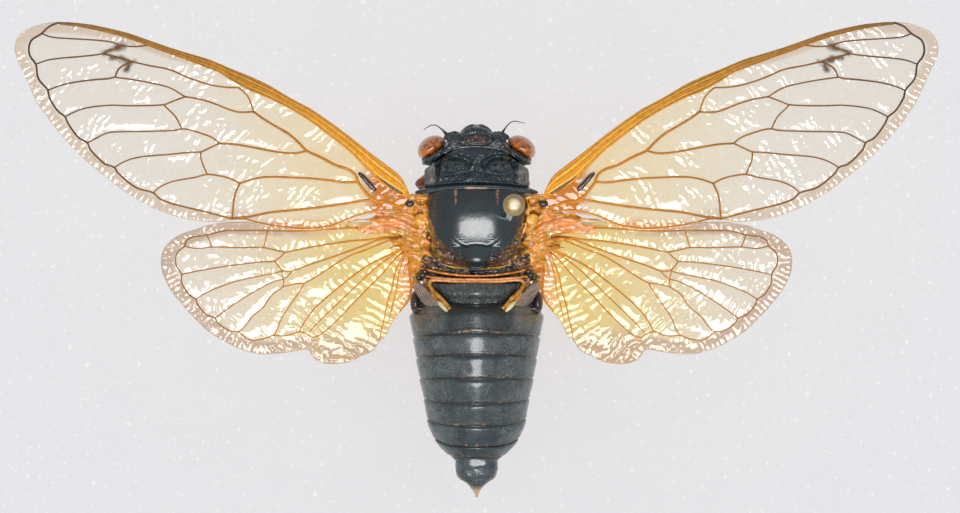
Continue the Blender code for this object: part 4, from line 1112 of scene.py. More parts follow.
def mesonotumHeight(x, y, s, t):
    form = mesonotumForm
    z = dome(form["levels"], 4.75, 26.0, x, y, 2.7)
    side = abs(x)
    share = domeShare(x, y)
    rear = fade(0.55, 0.8, y)
    z -= 0.5 * (1 - share) * (0.6 + 0.4 * rear)
    past = y - rowAt(form["crease"], side)[0]  # behind the dome's sharp rear edge where below 0
    behind = fade(-0.2, 0.02, past)
    step = behind * fade(1.0, 2.1, side)
    z += 0.02 * fade(0.0, 0.12, abs(past - 0.06)) * fade(1.4, 2.0, side)
    z -= 0.009 * max(fade(0.0, 0.08, nearLine(x, y, line)) for line in form["streaks"])
    frontArm, rearArm = nearLine(x, y, form["arm"]), nearLine(x, y, form["rearArm"])
    arms = max(fade(0.08, 0.36, frontArm), fade(0.05, 0.3, rearArm))
    patch = fade(0.4, 1.0, math.hypot((side - 1.32) / 0.6, (y + 0.3) / 0.5))
    z += behind * (0.12 * arms * (1 - step) + 0.34 * patch) - 0.16 * step * ease(0.2, 0.7, y)
    block = behind * fade(0.55, 1.3, side) * ease(-1.15, -0.9, y)
    z += (crownAt(form["spine"], y) - 0.42 * x * x - z) * block
    z += 0.24 * fade(0.04, 0.22, arcAway(x, y)) - 0.14 * fade(0.1, 0.3, arcAway(x, y - 0.36))
    z -= 0.12 * ease(0.965, 1.0, t)
    brim = hump(0.95, 0.04, s) * ease(0.15, 0.3, t) * (1 - rear)
    crease = crumple(Vector((x * 1.6, y, 7.0)), 0.55)
    z += 0.14 * brim + 0.16 * (1 - share) * (1 - block) * crease
    z -= 0.02 * fade(0.0, 0.1, abs(side - 1.68 + 0.1 * (y - 4.0))) * ease(3.6, 4.6, y)
    return z + 0.004 * ripple(Vector((x, y, 7.0)), 0.5, 3, 0.9, 2.1)


def mesonotumTint(co):
    x, y, side = co.x, co.y, abs(co.x)
    half = rowAt(mesonotumForm["domeSide"], y)[0]
    share = fade(half - 0.3, half + 0.14, side + 0.35 * grain(co, 0.45, 3.0))
    colour = mixed(colours["teal"], colours["black"], clamp(0.4 + grain(co, 1.4, 2.0)))
    field = mixed(paint(108, 60, 10), colours["gold"], clamp(0.16 + 1.3 * grain(co, 0.35, 5.0)))
    dull = 0.9 * ease(-0.28, -0.02, grain(co, 0.3, 8.0)) * fade(3.3, 3.8, side)
    field = mixed(field, paint(38, 28, 18), dull)
    dark = fade(0.75, 1.05, math.hypot((side - 1.3) / 0.62, (y + 0.3) / 0.55) + 0.3 * grain(co, 0.25, 6.0))
    block = fade(0.85, 1.1, side + 0.3 * grain(co, 0.3, 2.0))
    block *= ease(-1.05, -0.75, y + 0.3 * grain(co, 0.3, 5.0))
    field = mixed(field, colours["black"], 0.95 * max(dark, block))
    tuck = fade(0.1, 0.4, abs(arcAway(x, y) - 0.32)) * fade(0.4, 0.6, y)
    field = mixed(field, colours["rust"], 0.5 * tuck * (1 - block))
    arc = fade(0.04, 0.12, arcAway(x, y)) * (0.35 + 0.65 * ease(1.3, 2.0, side))
    field = mixed(field, paint(206, 158, 36), arc)
    colour = mixed(field, colour, share)
    ragged = 0.02 + 0.05 * grain(co, 0.2, 4.0) + 0.05 * ease(4.4, 5.3, y)
    stripe = fade(ragged, ragged + 0.09, abs(side - 1.7 + 0.04 * grain(co, 0.3))) * ease(4.0, 4.6, y)
    return mixed(colour, paint(158, 112, 84), 0.85 * stripe * clamp(0.8 + grain(co, 0.15, 9.0)))


mesonotum = makePlate(mesonotumForm["rows"], 240, 230, mesonotumHeight, 25.0, 0.96)
finishPiece("mesonotumDome", mesonotum, glossShell, ["mesonotum"], mesonotumTint)

# Metanotum: dark membrane with thin golden ridges across it
metanotumForm = {
    "rows": (
        (0.0, -0.9, 4.1, 0.5, 2.2), (0.3, -1.2, 4.4, 0.0, 2.2), (0.6, -1.5, 4.6, -0.75, 2.2),
        (1.0, -2.1, 4.6, -2.0, 2.0),
    ),
    "levels": ((-2.1, 26.95), (-1.5, 27.1), (-0.9, 27.0)), "ridge": 1.58, "bend": 0.031,
}


def metanotumHeight(x, y, s, t):
    form = metanotumForm
    z = dome(form["levels"], 5.2, 25.9, x, y)
    ridge = abs(y + form["ridge"] - form["bend"] * x * x)
    z += 0.2 * fade(0.04, 0.2, ridge) - 0.16 * fade(0.08, 0.26, abs(ridge - 0.28))
    z += 0.2 * fade(0.0, 0.16, math.hypot(x, y + 1.5))
    return z + 0.12 * crumple(Vector((x, y * 1.5, 2.0)), 0.4)


def metanotumTint(co):
    ridge = fade(0.05, 0.13, abs(co.y + metanotumForm["ridge"] - metanotumForm["bend"] * co.x * co.x))
    warm = clamp(1.1 * grain(co, 0.3, 3.0) - 0.22 + 0.55 * ease(2.2, 3.8, abs(co.x)))
    colour = mixed(colours["black"], colours["amber"], warm)
    bead = fade(0.05, 0.16, math.hypot(co.x, co.y + 1.5))
    return mixed(mixed(colour, colours["orange"], ridge), paint(230, 214, 200), bead)


metanotum = makePlate(metanotumForm["rows"], 190, 80, metanotumHeight, 25.0, 0.97)
finishPiece("metanotumRidges", metanotum, glossShell, ["metanotum"], metanotumTint)

# First tergite: a glossy black saddle inside a golden frame
saddleForm = {
    "rows": (
        (0.0, -2.05, 3.6, -2.05, 2.0), (0.25, -2.55, 3.45, -2.5, 2.0), (0.5, -3.1, 2.95, -3.05, 2.0),
        (0.75, -3.65, 2.45, -3.65, 2.0), (1.0, -4.15, 2.1, -4.3, 2.0),
    ),
    "levels": (
        (-4.5, 27.2), (-4.1, 27.2), (-3.8, 27.22), (-3.45, 27.35), (-3.2, 27.5), (-3.05, 27.56),
        (-2.9, 27.57), (-2.4, 27.5), (-2.2, 27.4), (-2.0, 26.9),
    ),
}


def saddleHeight(x, y, s, t):
    z = dome(saddleForm["levels"], 4.6, 25.9, x, y) + roofed(x, 0.6, 1.4, 0.3) - 0.3
    rough = 0.03 * crumple(Vector((x, y, 1.0)), 0.3) * (0.3 + 0.7 * s)
    return z + rough - 0.14 * fade(0.0, 0.1, t) - 0.2 * ease(0.93, 1.0, s)


def saddleTint(co):
    return mixed(colours["black"], paint(54, 54, 50), clamp(0.4 + 1.2 * grain(co, 0.3, 2.0)))


saddle = makePlate(saddleForm["rows"], 140, 110, saddleHeight, 25.4, 0.98)
finishPiece("firstTergite", saddle, abdomenShell, ["abdomen"], saddleTint)

# Right half of the frame: the inner rail with its arm, the twin rail before it, and the arm's outer rail
frameRoutes = (
    ((0.0, -2.05, 27.1, 0.14), (1.8, -2.01, 27.05, 0.15), (3.2, -1.9, 26.9, 0.15), (3.72, -1.98, 26.85, 0.16),
        (3.8, -2.4, 26.95, 0.17), (3.36, -2.96, 27.25, 0.17), (2.78, -3.5, 27.55, 0.17),
        (2.12, -4.25, 27.95, 0.13)),
    ((0.0, -1.86, 27.14, 0.09), (2.0, -1.83, 27.05, 0.1), (3.4, -1.72, 26.85, 0.1), (4.05, -1.62, 26.6, 0.09),
        (4.4, -1.75, 26.45, 0.08)),
    ((4.2, -1.8, 26.5, 0.1), (4.24, -2.3, 26.5, 0.14), (3.7, -2.98, 26.95, 0.17), (3.26, -3.46, 27.2, 0.17),
        (2.82, -3.92, 27.45, 0.14), (2.3, -4.4, 27.8, 0.1)),
)


def mirroredTube(route, step=0.1):  # one tube when the route starts on the midline, else one on each side
    left = [(-x, y, z, r) for x, y, z, r in route]
    whole = [left[:0:-1] + list(route)] if route[0][0] == 0.0 else [left, list(route)]
    return [smoothLine(points, step) for points in whole]


rails = [line for points in frameRoutes for line in mirroredTube(points)]


def frameTint(co):
    colour = mixed(colours["amber"], colours["gold"], clamp(0.5 + 1.4 * grain(co, 0.4, 3.0)))
    return mixed(colour, colours["pink"], 0.8 * ease(-2.06, -1.98, co.y) * fade(-1.76, -1.7, co.y))


goldenFrame = rippled(tubes(rails, 4), 0.035, 0.22)
finishPiece("goldenFrame", goldenFrame, amberShell, ["abdomen"], frameTint)
print("trunk made")

# Drum plates: ribbed shells between the frame and the first ring
padForm = {"middle": (2.74, -4.05, 27.75), "half": (0.6, 0.2, 0.16), "heading": 46}
# Lumps beside the drum plates: middle on the right half, and half sizes
hollowForm = (((5.0, -3.75, 25.7), (0.42, 0.95, 0.8)), ((4.65, -4.25, 25.9), (0.7, 0.32, 0.7)))
cornerForm = (
    ((4.4, -1.5, 26.5), (0.36, 0.3, 0.36)), ((4.72, -1.75, 26.35), (0.26, 0.22, 0.26)),
    ((4.2, -1.2, 26.5), (0.24, 0.2, 0.26)),
)
tymbalForm = {
    "middle": (4.02, -3.3, 26.86), "half": (1.5, 0.55, 0.24), "heading": 48.0, "roll": 24.0, "ribs": 19,
    "rib": 0.055,
}


def tymbalShell(side):
    form = tymbalForm
    bm = bmesh.new()
    bmesh.ops.create_uvsphere(bm, u_segments=56, v_segments=190, radius=1.0)
    bmesh.ops.rotate(bm, matrix=Matrix.Rotation(math.pi / 2, 3, "Y"), verts=bm.verts)
    for v in bm.verts:
        along = v.co.x
        outer = ease(-0.9, 0.0, -v.co.y)  # ribs stand on the outer part
        ribbing = outer * math.cos(2 * math.pi * form["ribs"] * (along + 0.2 * v.co.y) / 2)
        swell = form["rib"] * ribbing * (1 - along**4)
        taper = 1 - 0.08 * along
        wide = math.copysign(abs(v.co.y) ** 0.75, v.co.y)
        flat = Vector((along * form["half"][0], wide * form["half"][1] * taper, v.co.z * form["half"][2]))
        v.co = flat + Vector((0, v.co.y, 1.4 * v.co.z)) * swell
    turn = turned(-form["heading"]) @ turned(form["roll"], "X")
    x, y, z = form["middle"]
    bmesh.ops.transform(bm, matrix=Matrix.Translation((-x, y, z)) @ turn, verts=bm.verts)
    if side > 0:
        bmesh.ops.scale(bm, vec=(-1, 1, 1), verts=bm.verts)
    return bm


def tymbalTint(co):
    form = tymbalForm
    turn = math.radians(form["heading"])
    dx, dy = abs(co.x) - form["middle"][0], co.y - form["middle"][1]
    along = (-dx * math.cos(turn) - dy * math.sin(turn)) / form["half"][0]
    out = dx * math.sin(turn) - dy * math.cos(turn)
    rib = 0.5 + 0.5 * math.cos(2 * math.pi * form["ribs"] * (along - 0.2 * out / form["half"][1]) / 2)
    ribbed = mixed(paint(52, 40, 34), paint(168, 148, 130), rib)
    return mixed(paint(84, 58, 38), ribbed, ease(-0.45, -0.1, out))


def cavityTint(co):
    return mixed(colours["cavity"], colours["black"], clamp(0.4 + grain(co, 0.5)))


tymbalFilm = cuticle("tymbalFilm", dict(shell["amber"], rough=(0.35, 0.5), coat=0.1, dust=0.2))
for sideName, side in sides:
    node = "tymbal_" + sideName.lower()
    finishPiece("tymbalRibs" + sideName, tymbalShell(side), tymbalFilm, [node], tymbalTint)
    x, y, z = padForm["middle"]
    pads = blob((side * x, y, z), padForm["half"], turned(side * padForm["heading"]))
    finishPiece("creamPad" + sideName, pads, amberShell, [], lambda co: colours["cream"])
    hollows = joined(*[blob((side * x, y, z), half) for (x, y, z), half in hollowForm])
    finishPiece("drumCavity" + sideName, hollows, bodyShell, [], cavityTint)
    corner = fused([blob((side * x, y, z), half) for (x, y, z), half in cornerForm], 0.05, 2)
    finishPiece("cornerLump" + sideName, corner, glossShell, [], lambda co: colours["black"])

# Head: crown, swollen ridged face, cheeks, feeler plates and eye sockets in one skin
headForm = {
    "voxel": 0.07, "rounds": 4, "rough": 0.06, "fine": 0.02, "faceTilt": -14.0, "ridge": 0.07,
    "ridgeStep": 0.42,
    "rows": (
        (0.0, 10.15, 2.0, 9.95, 3.0), (0.2, 9.75, 2.45, 9.5, 2.4), (0.5, 9.35, 2.7, 8.9, 2.2),
        (0.75, 9.1, 3.2, 8.15, 2.3), (1.0, 8.85, 3.75, 7.55, 2.5),
    ),
    "levels": ((7.4, 27.75), (8.6, 28.08), (9.4, 27.95), (9.9, 27.65), (10.3, 27.1)),
    # lumps on the midline, and on the right half: middle and half sizes
    "middle": (
        ((0, 8.5, 25.0), (3.4, 1.3, 1.5)), ((-0.05, 10.0, 26.95), (1.15, 0.6, 0.55)),
        ((0, 8.4, 22.6), (1.2, 1.0, 1.3)),
    ),
    "cheeks": (
        ((1.5, 9.0, 22.9), (0.75, 0.7, 1.5)), ((2.45, 9.72, 26.4), (0.24, 0.24, 0.24)),
        ((1.75, 9.25, 27.85), (0.62, 0.42, 0.26)), ((2.3, 8.1, 24.2), (0.9, 0.9, 1.4)),
    ),
    # furrows of the crown: depth, width, then the line on the right half
    "furrows": (
        (0.17, 0.2, ((0.0, 9.98), (0.7, 9.92), (1.15, 9.75), (1.3, 10.1))),
        (0.14, 0.18, ((1.2, 9.75), (1.25, 9.3), (0.7, 9.0), (0.0, 9.06))),
        (0.12, 0.16, ((1.3, 9.62), (2.0, 9.6), (2.5, 9.45))),
        (0.14, 0.2, ((2.1, 9.5), (2.35, 9.0), (2.9, 8.45))),
    ),
}
eyeLook = {"place": (3.62, 8.8, 26.4), "half": (1.27, 0.99, 1.27), "heading": 33.8, "flat": 0.42}


def eyeFrame(side):  # middle, the long way and the outward way of an eye
    turn = math.radians(eyeLook["heading"])
    x, y, z = eyeLook["place"]
    along = Vector((side * math.cos(turn), -math.sin(turn), 0))
    return Vector((side * x, y, z)), along, Vector((side * math.sin(turn), math.cos(turn), 0))


def headCrown():
    height = lambda x, y, s, t: dome(headForm["levels"], 5.4, 26.6, x, y)
    return makePlate(headForm["rows"], 60, 40, height, 25.2, 0.9)


def headDepth(co, normal):
    face = ease(9.4, 10.0, co.y) * fade(26.3, 26.9, co.z) * fade(1.1, 1.7, abs(co.x))
    wave = math.sin(2 * math.pi * (co.z + 0.25 * abs(co.x)) / headForm["ridgeStep"])
    ridges = headForm["ridge"] * face * wave * ease(0.12, 0.4, abs(co.x))
    top = ease(26.5, 27.3, co.z)
    bent = (co.x + 0.16 * grain(co, 0.6, 2.0), co.y + 0.16 * grain(co, 0.6, 5.0))
    furrows = sum(deep * fade(0.0, width, nearLine(*bent, line)) for deep, width, line in headForm["furrows"])
    lumps = headForm["rough"] * top * crumple(co, 0.26)
    fine = headForm["fine"] * (0.3 + 0.7 * top) * ripple(co, 0.13, 3, 0.9, 2.1)
    return ridges + lumps + fine - top * furrows


def makeHead():
    face = blob((0, 8.95, 24.5), (1.7, 1.78, 2.95), turned(headForm["faceTilt"], "X"))
    shapes = [headCrown(), face] + [blob(place, half) for place, half in headForm["middle"]]
    for side in (-1, 1):
        middle, out = eyeFrame(side)[::2]
        turn = turned(-side * eyeLook["heading"])
        shapes += [
            blob((side * 1.88, 9.88, 27.1), (0.74, 0.33, 0.26), turned(-side * 8)),
            blob(middle - out * 0.62 + Vector((0, 0, 0.05)), (1.42, 0.36, 1.3), turn),
            blob(middle - out * 0.5 - Vector((0, 0, 0.9)), (1.3, 0.8, 0.8), turn),
        ]
        shapes += [blob((side * x, y, z), half) for (x, y, z), half in headForm["cheeks"]]
        shapes.append(blob((side * 2.45, 8.6, 27.72), (0.5, 0.3, 0.22), turn))
    bm = fused(shapes, headForm["voxel"], headForm["rounds"])
    bmesh.ops.delete(bm, geom=[v for v in bm.verts if not v.link_faces], context="VERTS")
    return pushed(bm, headDepth)


def headTint(co):
    colour = mixed(colours["blue"], colours["dull"], clamp(0.2 + 1.2 * grain(co, 0.4, 1.0)))
    side = abs(co.x)
    middle, out = eyeFrame(math.copysign(1.0, co.x))[::2]
    away = (co - middle).dot(out)
    rim = fade(0.04, 0.14, abs(away + 0.36)) * ease(2.5, 2.8, side) * ease(26.8, 27.3, co.z)
    colour = mixed(colour, colours["gold"], 0.5 * rim * ease(-0.1, 0.2, grain(co, 0.25, 4.0)))
    behind = fade(0.05, 0.16, nearLine(co.x, co.y, ((1.5, 8.74), (2.3, 8.33), (3.0, 7.85))))
    behind *= ease(26.9, 27.3, co.z)
    hairs = 0.4 * behind * ease(0.0, 0.3, grain(co, 0.4, 6.0)) * ease(1.7, 2.0, side)
    colour = mixed(colour, colours["gold"], hairs)
    rear = fade(0.02, 0.09, abs(co.y - 8.8 + 0.03 * co.x * co.x))
    colour = mixed(colour, paint(158, 158, 146), 0.7 * rear * ease(27.4, 27.7, co.z) * fade(1.4, 1.9, side))
    face = ease(9.0, 9.7, co.y) * fade(25.5, 26.8, co.z)
    colour = mixed(colour, colours["amber"], 0.7 * face * ease(0.7, 1.6, side))
    pinkish = fade(0.3, 1.0, math.hypot(co.x / 1.15, (co.y - 9.5) / 0.5))
    pinkish = 0.55 * pinkish * ease(27.0, 27.5, co.z) * ease(-0.2, 0.3, grain(co, 0.2, 7.0))
    return mixed(colour, paint(124, 92, 84), pinkish)


finishPiece("headCapsule", makeHead(), bodyShell, ["head"], headTint)


def marginAt(x):
    return (x, 8.9 - 0.045 * x * x, 28.1 - 0.028 * x * x, 0.038 if abs(x) < 2 else 0.012)


def marginTint(co):
    pale = clamp(0.6 + 1.2 * grain(co, 0.2)) * fade(1.2, 1.9, abs(co.x))
    return mixed(colours["dull"], paint(160, 160, 150), pale)


margin = smoothLine([marginAt(x) for x in (-2.5, -1.7, -0.8, 0.0, 0.8, 1.7, 2.5)], 0.06)
margin = rippled(tubes([margin], 3), 0.02, 0.15)
finishPiece("headMargin", margin, bodyShell, ["head"], marginTint)

ocelliLook = {"places": ((-0.05, 9.7, 27.92), (0.55, 9.36, 28.02), (-0.66, 9.36, 28.02)), "radius": 0.14}
ocelliFinish, tree, shader, place = newFinish("ocellusGlass")
fill(tree, shader, {
    "Base Color": mixColour(tree, grains(tree, place, 0.15), paint(96, 36, 22), paint(168, 92, 70)),
    "Roughness": 0.08, "Coat Weight": 0.6,
})
ocelli = joined(*[blob(point, [ocelliLook["radius"]] * 3, None, 24, 14) for point in ocelliLook["places"]])
finishPiece("ocelli", ocelli, ocelliFinish)


def eyeFinish(name):  # red with dark mottles, under a pale rim of painted sheen
    finish, tree, shader, place = newFinish(name)
    tint = put(tree, "Attribute", attribute_name="tint")
    dark = ranged(tree, grains(tree, place, 0.38, 3.0, 0.6), 0.48, 0.62, 0.0, 0.8)
    red = mixColour(tree, grains(tree, place, 0.6), paint(208, 122, 46), paint(170, 86, 28))
    red = mixColour(tree, dark, red, paint(66, 22, 12))
    fill(tree, shader, {
        "Base Color": mixColour(tree, tint.outputs["Alpha"], red, tint.outputs["Color"]),
        "Roughness": 0.22, "Coat Weight": 1.0, "Coat Roughness": 0.04, "Coat IOR": 1.8,
    })
    bumped(tree, shader, [(cells(tree, place, 0.05), 0.004)])
    return finish


redEye = eyeFinish("redEye")
for sideName, side in sides:
    middle, along, out = eyeFrame(side)
    eye = blob(middle, eyeLook["half"], turned(-side * eyeLook["heading"]), 72, 48)
    for v in eye.verts:  # the inner side sits flat in its socket
        inward = min(0.0, (v.co - middle).dot(out))
        v.co -= out * inward * (1 - eyeLook["flat"])

    # painted sheen: a pale rim along the eye's outer edge, on its upper half, for the reflection there
    def paintedRimSheen(co, middle=middle, along=along, out=out):
        away = max((co - middle).dot(out), 0.0) / eyeLook["half"][1]
        ends = abs((co - middle).dot(along)) / eyeLook["half"][0]
        rim = ease(0.56, 0.84, math.hypot(away, 0.8 * ends) + 0.06 * grain(co, 0.4))
        return (*paint(190, 148, 120), 0.75 * rim * ease(-0.4, 0.2, co.z - middle.z))

    finishPiece("eye" + sideName, eye, redEye, ["eye_" + sideName.lower()], paintedRimSheen)

# Feelers: a short foot and a bristle that thins to its end
feelers = {
    "Left": (
        (446, 133.6, 26.4, 0.15), (444, 131.5, 26.5, 0.11), (442, 129.6, 26.6, 0.07), (440, 128, 26.7, 0.055),
        (436, 125.5, 26.85, 0.05), (432, 125.2, 26.9, 0.045), (428, 127, 26.85, 0.036),
        (423.5, 130.4, 26.7, 0.022),
    ),
    "Right": (
        (501.5, 133.6, 26.4, 0.15), (503, 131.5, 26.5, 0.11), (504.6, 129, 26.6, 0.07),
        (506, 127, 26.75, 0.055), (510, 123, 26.95, 0.05), (513, 121.5, 27.0, 0.045),
        (519, 122, 26.95, 0.036), (525, 123.4, 26.8, 0.022),
    ),
}


def feelerTint(co):
    return mixed(colours["black"], colours["dull"], ease(10.0, 10.8, co.y))


for sideName, points in feelers.items():
    bristle = tubes([smoothLine([(*there(px, py, z), r) for px, py, z, r in points], 0.08)], 3)
    node = "antenna_" + sideName.lower()
    finishPiece("feeler" + sideName, bristle, bodyShell, [node], feelerTint)
print("head made")

# Beak, laid back between the legs
beakRoute = (
    (0.0, 8.3, 22.2, 0.62), (0.0, 7.4, 21.0, 0.6), (0.0, 6.7, 20.3, 0.5), (0.0, 5.6, 19.95, 0.42),
    (0.0, 4.2, 19.8, 0.38), (0.0, 2.2, 19.7, 0.3), (0.0, 0.9, 19.62, 0.24), (0.0, 0.5, 19.6, 0.12),
)


def beakDepth(co, normal):  # a groove below, and two rings
    groove = -0.1 * hump(0.0, 0.12, co.x) * (1 if normal.z < 0 else 0)
    return groove - 0.05 * max(hump(place, 0.1, co.y) for place in (6.7, 4.4)) + 0.02 * ripple(co, 0.3)


def beakTint(co):
    return mixed(colours["rust"], colours["black"], ease(2.6, 1.2, co.y))


beak = pushed(tubes([smoothLine(beakRoute, 0.12)], 5), beakDepth)
finishPiece("beak", beak, amberShell, ["rostrum"], beakTint)

# Legs: coxa, femur, shin and foot in one chain each, with spurs and a pair of claws
legRoutes = {
    "fore": (
        (1.6, 6.8, 22.2, 0.8), (2.0, 6.7, 20.6, 0.72), (2.3, 6.6, 19.75, 0.42), (2.9, 6.5, 19.35, 0.62),
        (3.9, 6.3, 19.25, 0.66), (4.65, 6.12, 19.3, 0.42), (4.85, 6.02, 19.15, 0.28), (4.5, 5.75, 18.8, 0.3),
        (3.9, 5.3, 18.2, 0.27), (2.7, 4.5, 16.9, 0.25), (2.3, 4.1, 16.3, 0.2), (1.9, 3.7, 15.6, 0.17),
        (1.6, 3.25, 14.9, 0.12),
    ),
    "mid": (
        (2.5, 0.8, 22.2, 0.75), (2.8, 0.6, 20.2, 0.66), (2.95, 0.45, 19.3, 0.38), (3.4, 0.2, 18.9, 0.46),
        (4.0, -0.2, 18.6, 0.48), (4.5, -0.6, 18.25, 0.34), (4.65, -0.8, 18.05, 0.24),
        (4.4, -1.4, 17.85, 0.25), (4.0, -2.5, 17.5, 0.24), (3.4, -4.2, 17.0, 0.21), (3.1, -5.1, 16.65, 0.17),
        (2.8, -6.0, 16.3, 0.15), (2.6, -6.8, 15.95, 0.11),
    ),
    "hind": (
        (2.3, -1.1, 22.2, 0.75), (2.45, -1.25, 20.0, 0.66), (2.5, -1.35, 19.0, 0.38), (2.5, -2.1, 18.5, 0.46),
        (2.5, -3.2, 18.0, 0.46), (2.42, -4.5, 17.35, 0.33), (2.38, -4.95, 17.12, 0.24),
        (2.25, -5.8, 17.1, 0.26), (2.0, -7.2, 17.1, 0.24), (1.6, -9.6, 17.1, 0.21), (1.4, -10.8, 17.05, 0.17),
        (1.2, -12.0, 16.9, 0.15), (1.05, -12.9, 16.7, 0.11),
    ),
}
legJoints = (2, 6, 9)
# Rows of spurs: first and last point of the route, count and length
spurs = {"fore": ((2, 4, 4, 0.5), (3, 4, 7, 0.35)), "mid": ((8, 9, 5, 0.4),), "hind": ((7, 9, 8, 0.55),)}


def thorn(foot, tip, radius):
    foot, tip = Vector(foot), Vector(tip)
    bm = bmesh.new()
    height = (tip - foot).length
    bmesh.ops.create_cone(bm, cap_ends=True, segments=8, radius1=radius, radius2=radius * 0.12, depth=height)
    turn = Vector((0, 0, 1)).rotation_difference(tip - foot).to_matrix().to_4x4()
    bmesh.ops.transform(bm, matrix=Matrix.Translation((foot + tip) / 2) @ turn, verts=bm.verts)
    return bm


def makeLeg(kind, side):
    close = 0.86 if kind == "fore" and side > 0 else 1.0  # the right foreleg lies closer in
    points = [(side * x * close, y, z, r) for x, y, z, r in legRoutes[kind]]
    line = smoothLine(points, 0.1)
    shapes = [tubes([line], 4)]
    for first, last, count, length in spurs[kind]:
        for k in range(count):
            share = (k + 0.5) / count
            a, b = Vector(points[first][:3]), Vector(points[last][:3])
            foot = a.lerp(b, share)
            swing = (b - a).normalized()
            away = swing.cross(Vector((0, 0, 1))).normalized() * (1 if k % 2 else -1) + Vector((0, 0, -0.5))
            shapes.append(thorn(foot, foot + (away.normalized() + swing * 0.6).normalized() * length, 0.09))
    a, b = Vector(points[-2][:3]), Vector(points[-1][:3])
    ahead = (b - a).normalized()
    across = ahead.cross(Vector((0, 0, 1))).normalized()
    for way in (-1, 1):
        claw = [(*(b + across * way * 0.04), 0.08), (*(b + ahead * 0.25 + across * way * 0.2), 0.065),
                (*(b + ahead * 0.45 + across * way * 0.26 + Vector((0, 0, -0.16))), 0.02)]
        shapes.append(tubes([smoothLine(claw, 0.06)], 1))
    return rippled(joined(*shapes), 0.015, 0.35)


for kind, points in legRoutes.items():
    for sideName, side in sides:
        joints = nearTree([Vector((side * points[k][0], *points[k][1:3])) for k in legJoints])

        def legTint(co, joints=joints):
            knee = fade(0.15, 0.7, joints.find(co)[2])
            colour = mixed(paint(196, 104, 36), paint(150, 66, 24), clamp(0.4 + grain(co, 0.8, 2.0)))
            colour = mixed(colour, colours["black"], 0.75 * knee)
            return mixed(colour, colours["black"], 0.8 * ease(20.0, 21.6, co.z))

        leg = makeLeg(kind, side)
        node = kind + "leg_" + sideName.lower()
        finishPiece(kind + "Leg" + sideName, leg, amberShell, [node], legTint)

# Opercula: the flaps over the drums, below the abdomen's front
flapForm = {"middle": (2.3, -3.9, 19.75), "half": (1.75, 1.6, 0.32), "tilt": 14}


def flapTint(co):
    return mixed(paint(176, 120, 60), colours["black"], ease(-2.6, -1.6, co.y))


for sideName, side in sides:
    x, y, z = flapForm["middle"]
    flap = blob((side * x, y, z), flapForm["half"], turned(side * flapForm["tilt"], "Y"), 48, 24)
    flap = rippled(flap, 0.03, 0.6)
    node = "operculum_" + sideName.lower()
    finishPiece("drumFlap" + sideName, flap, amberShell, [node], flapTint)
print("legs and flaps made")

# Wing roots: pads, knobs and folded pink membrane between wing and trunk
rootLook = {
    "voxel": 0.065, "rounds": 4, "folds": 0.2, "fine": 0.015,
    "pad": ((4.58, 3.0, 27.0), (0.56, 0.5, 0.2), 14), "knob": ((5.42, 4.3, 27.12), (0.4, 0.26, 0.24), -12),
    # dark streaks of the forewing's first cells: out, forward and radius
    "streaks": (
        ((8.25, 6.6, 0.03), (7.6, 6.15, 0.1), (7.0, 5.72, 0.14), (6.4, 5.35, 0.14), (6.05, 5.12, 0.08)),
        ((9.6, 6.8, 0.1), (9.3, 6.55, 0.19), (8.9, 6.1, 0.2), (8.5, 5.65, 0.2), (8.2, 5.35, 0.12)),
    ),
    "streakLift": 0.14,
}
foldRoutes = (  # picture points of the left side, height and radius
    ((346, 222, 26.0, 0.08), (366, 219, 26.3, 0.2), (388, 219.5, 26.5, 0.28), (404, 224, 26.6, 0.28),
        (416, 231, 26.5, 0.22), (424, 240, 26.4, 0.16)),
    ((344, 226.5, 25.9, 0.07), (366, 226, 26.1, 0.18), (388, 227.5, 26.3, 0.26), (406, 232, 26.4, 0.26),
        (420, 242, 26.3, 0.2)),
    ((372, 209, 26.4, 0.1), (388, 207, 26.6, 0.18), (402, 206, 26.7, 0.24), (414, 210, 26.8, 0.26)),
    ((376, 213, 26.35, 0.08), (392, 213.5, 26.6, 0.2), (406, 214, 26.7, 0.26), (416, 220, 26.7, 0.26),
        (424, 230, 26.5, 0.26)),
    ((380, 238, 25.5, 0.1), (394, 239, 25.8, 0.22), (408, 242, 26.0, 0.32), (420, 249, 26.0, 0.3)),
    ((388, 248, 25.4, 0.1), (400, 247, 25.8, 0.22), (412, 251, 26.0, 0.32), (424, 258, 26.0, 0.3)),
    ((400, 262, 25.4, 0.1), (404, 254, 25.7, 0.24), (413, 256, 25.9, 0.32), (424, 264, 25.9, 0.3)),
    ((403, 276, 25.3, 0.1), (407, 265, 25.6, 0.24), (415, 262, 25.8, 0.3), (426, 268, 25.9, 0.26)),
    ((400, 200, 26.9, 0.12), (408, 197, 27.0, 0.22), (418, 196, 27.1, 0.26), (428, 198, 27.1, 0.26)),
    ((409, 197, 27.0, 0.16), (415, 205, 27.1, 0.22), (424, 209, 27.0, 0.24), (430, 213, 26.9, 0.24)),
    ((425, 202, 27.1, 0.2), (425.5, 214, 27.0, 0.22), (428, 226, 26.9, 0.22), (433, 238, 26.7, 0.22),
        (438, 246, 26.5, 0.16)),
    ((417, 238, 26.4, 0.16), (422, 246, 26.4, 0.18), (427, 252, 26.4, 0.16), (432, 258, 26.3, 0.14)),
    ((420, 222, 26.6, 0.2), (422, 230, 26.5, 0.24), (427, 240, 26.4, 0.26), (434, 250, 26.3, 0.2)),
)
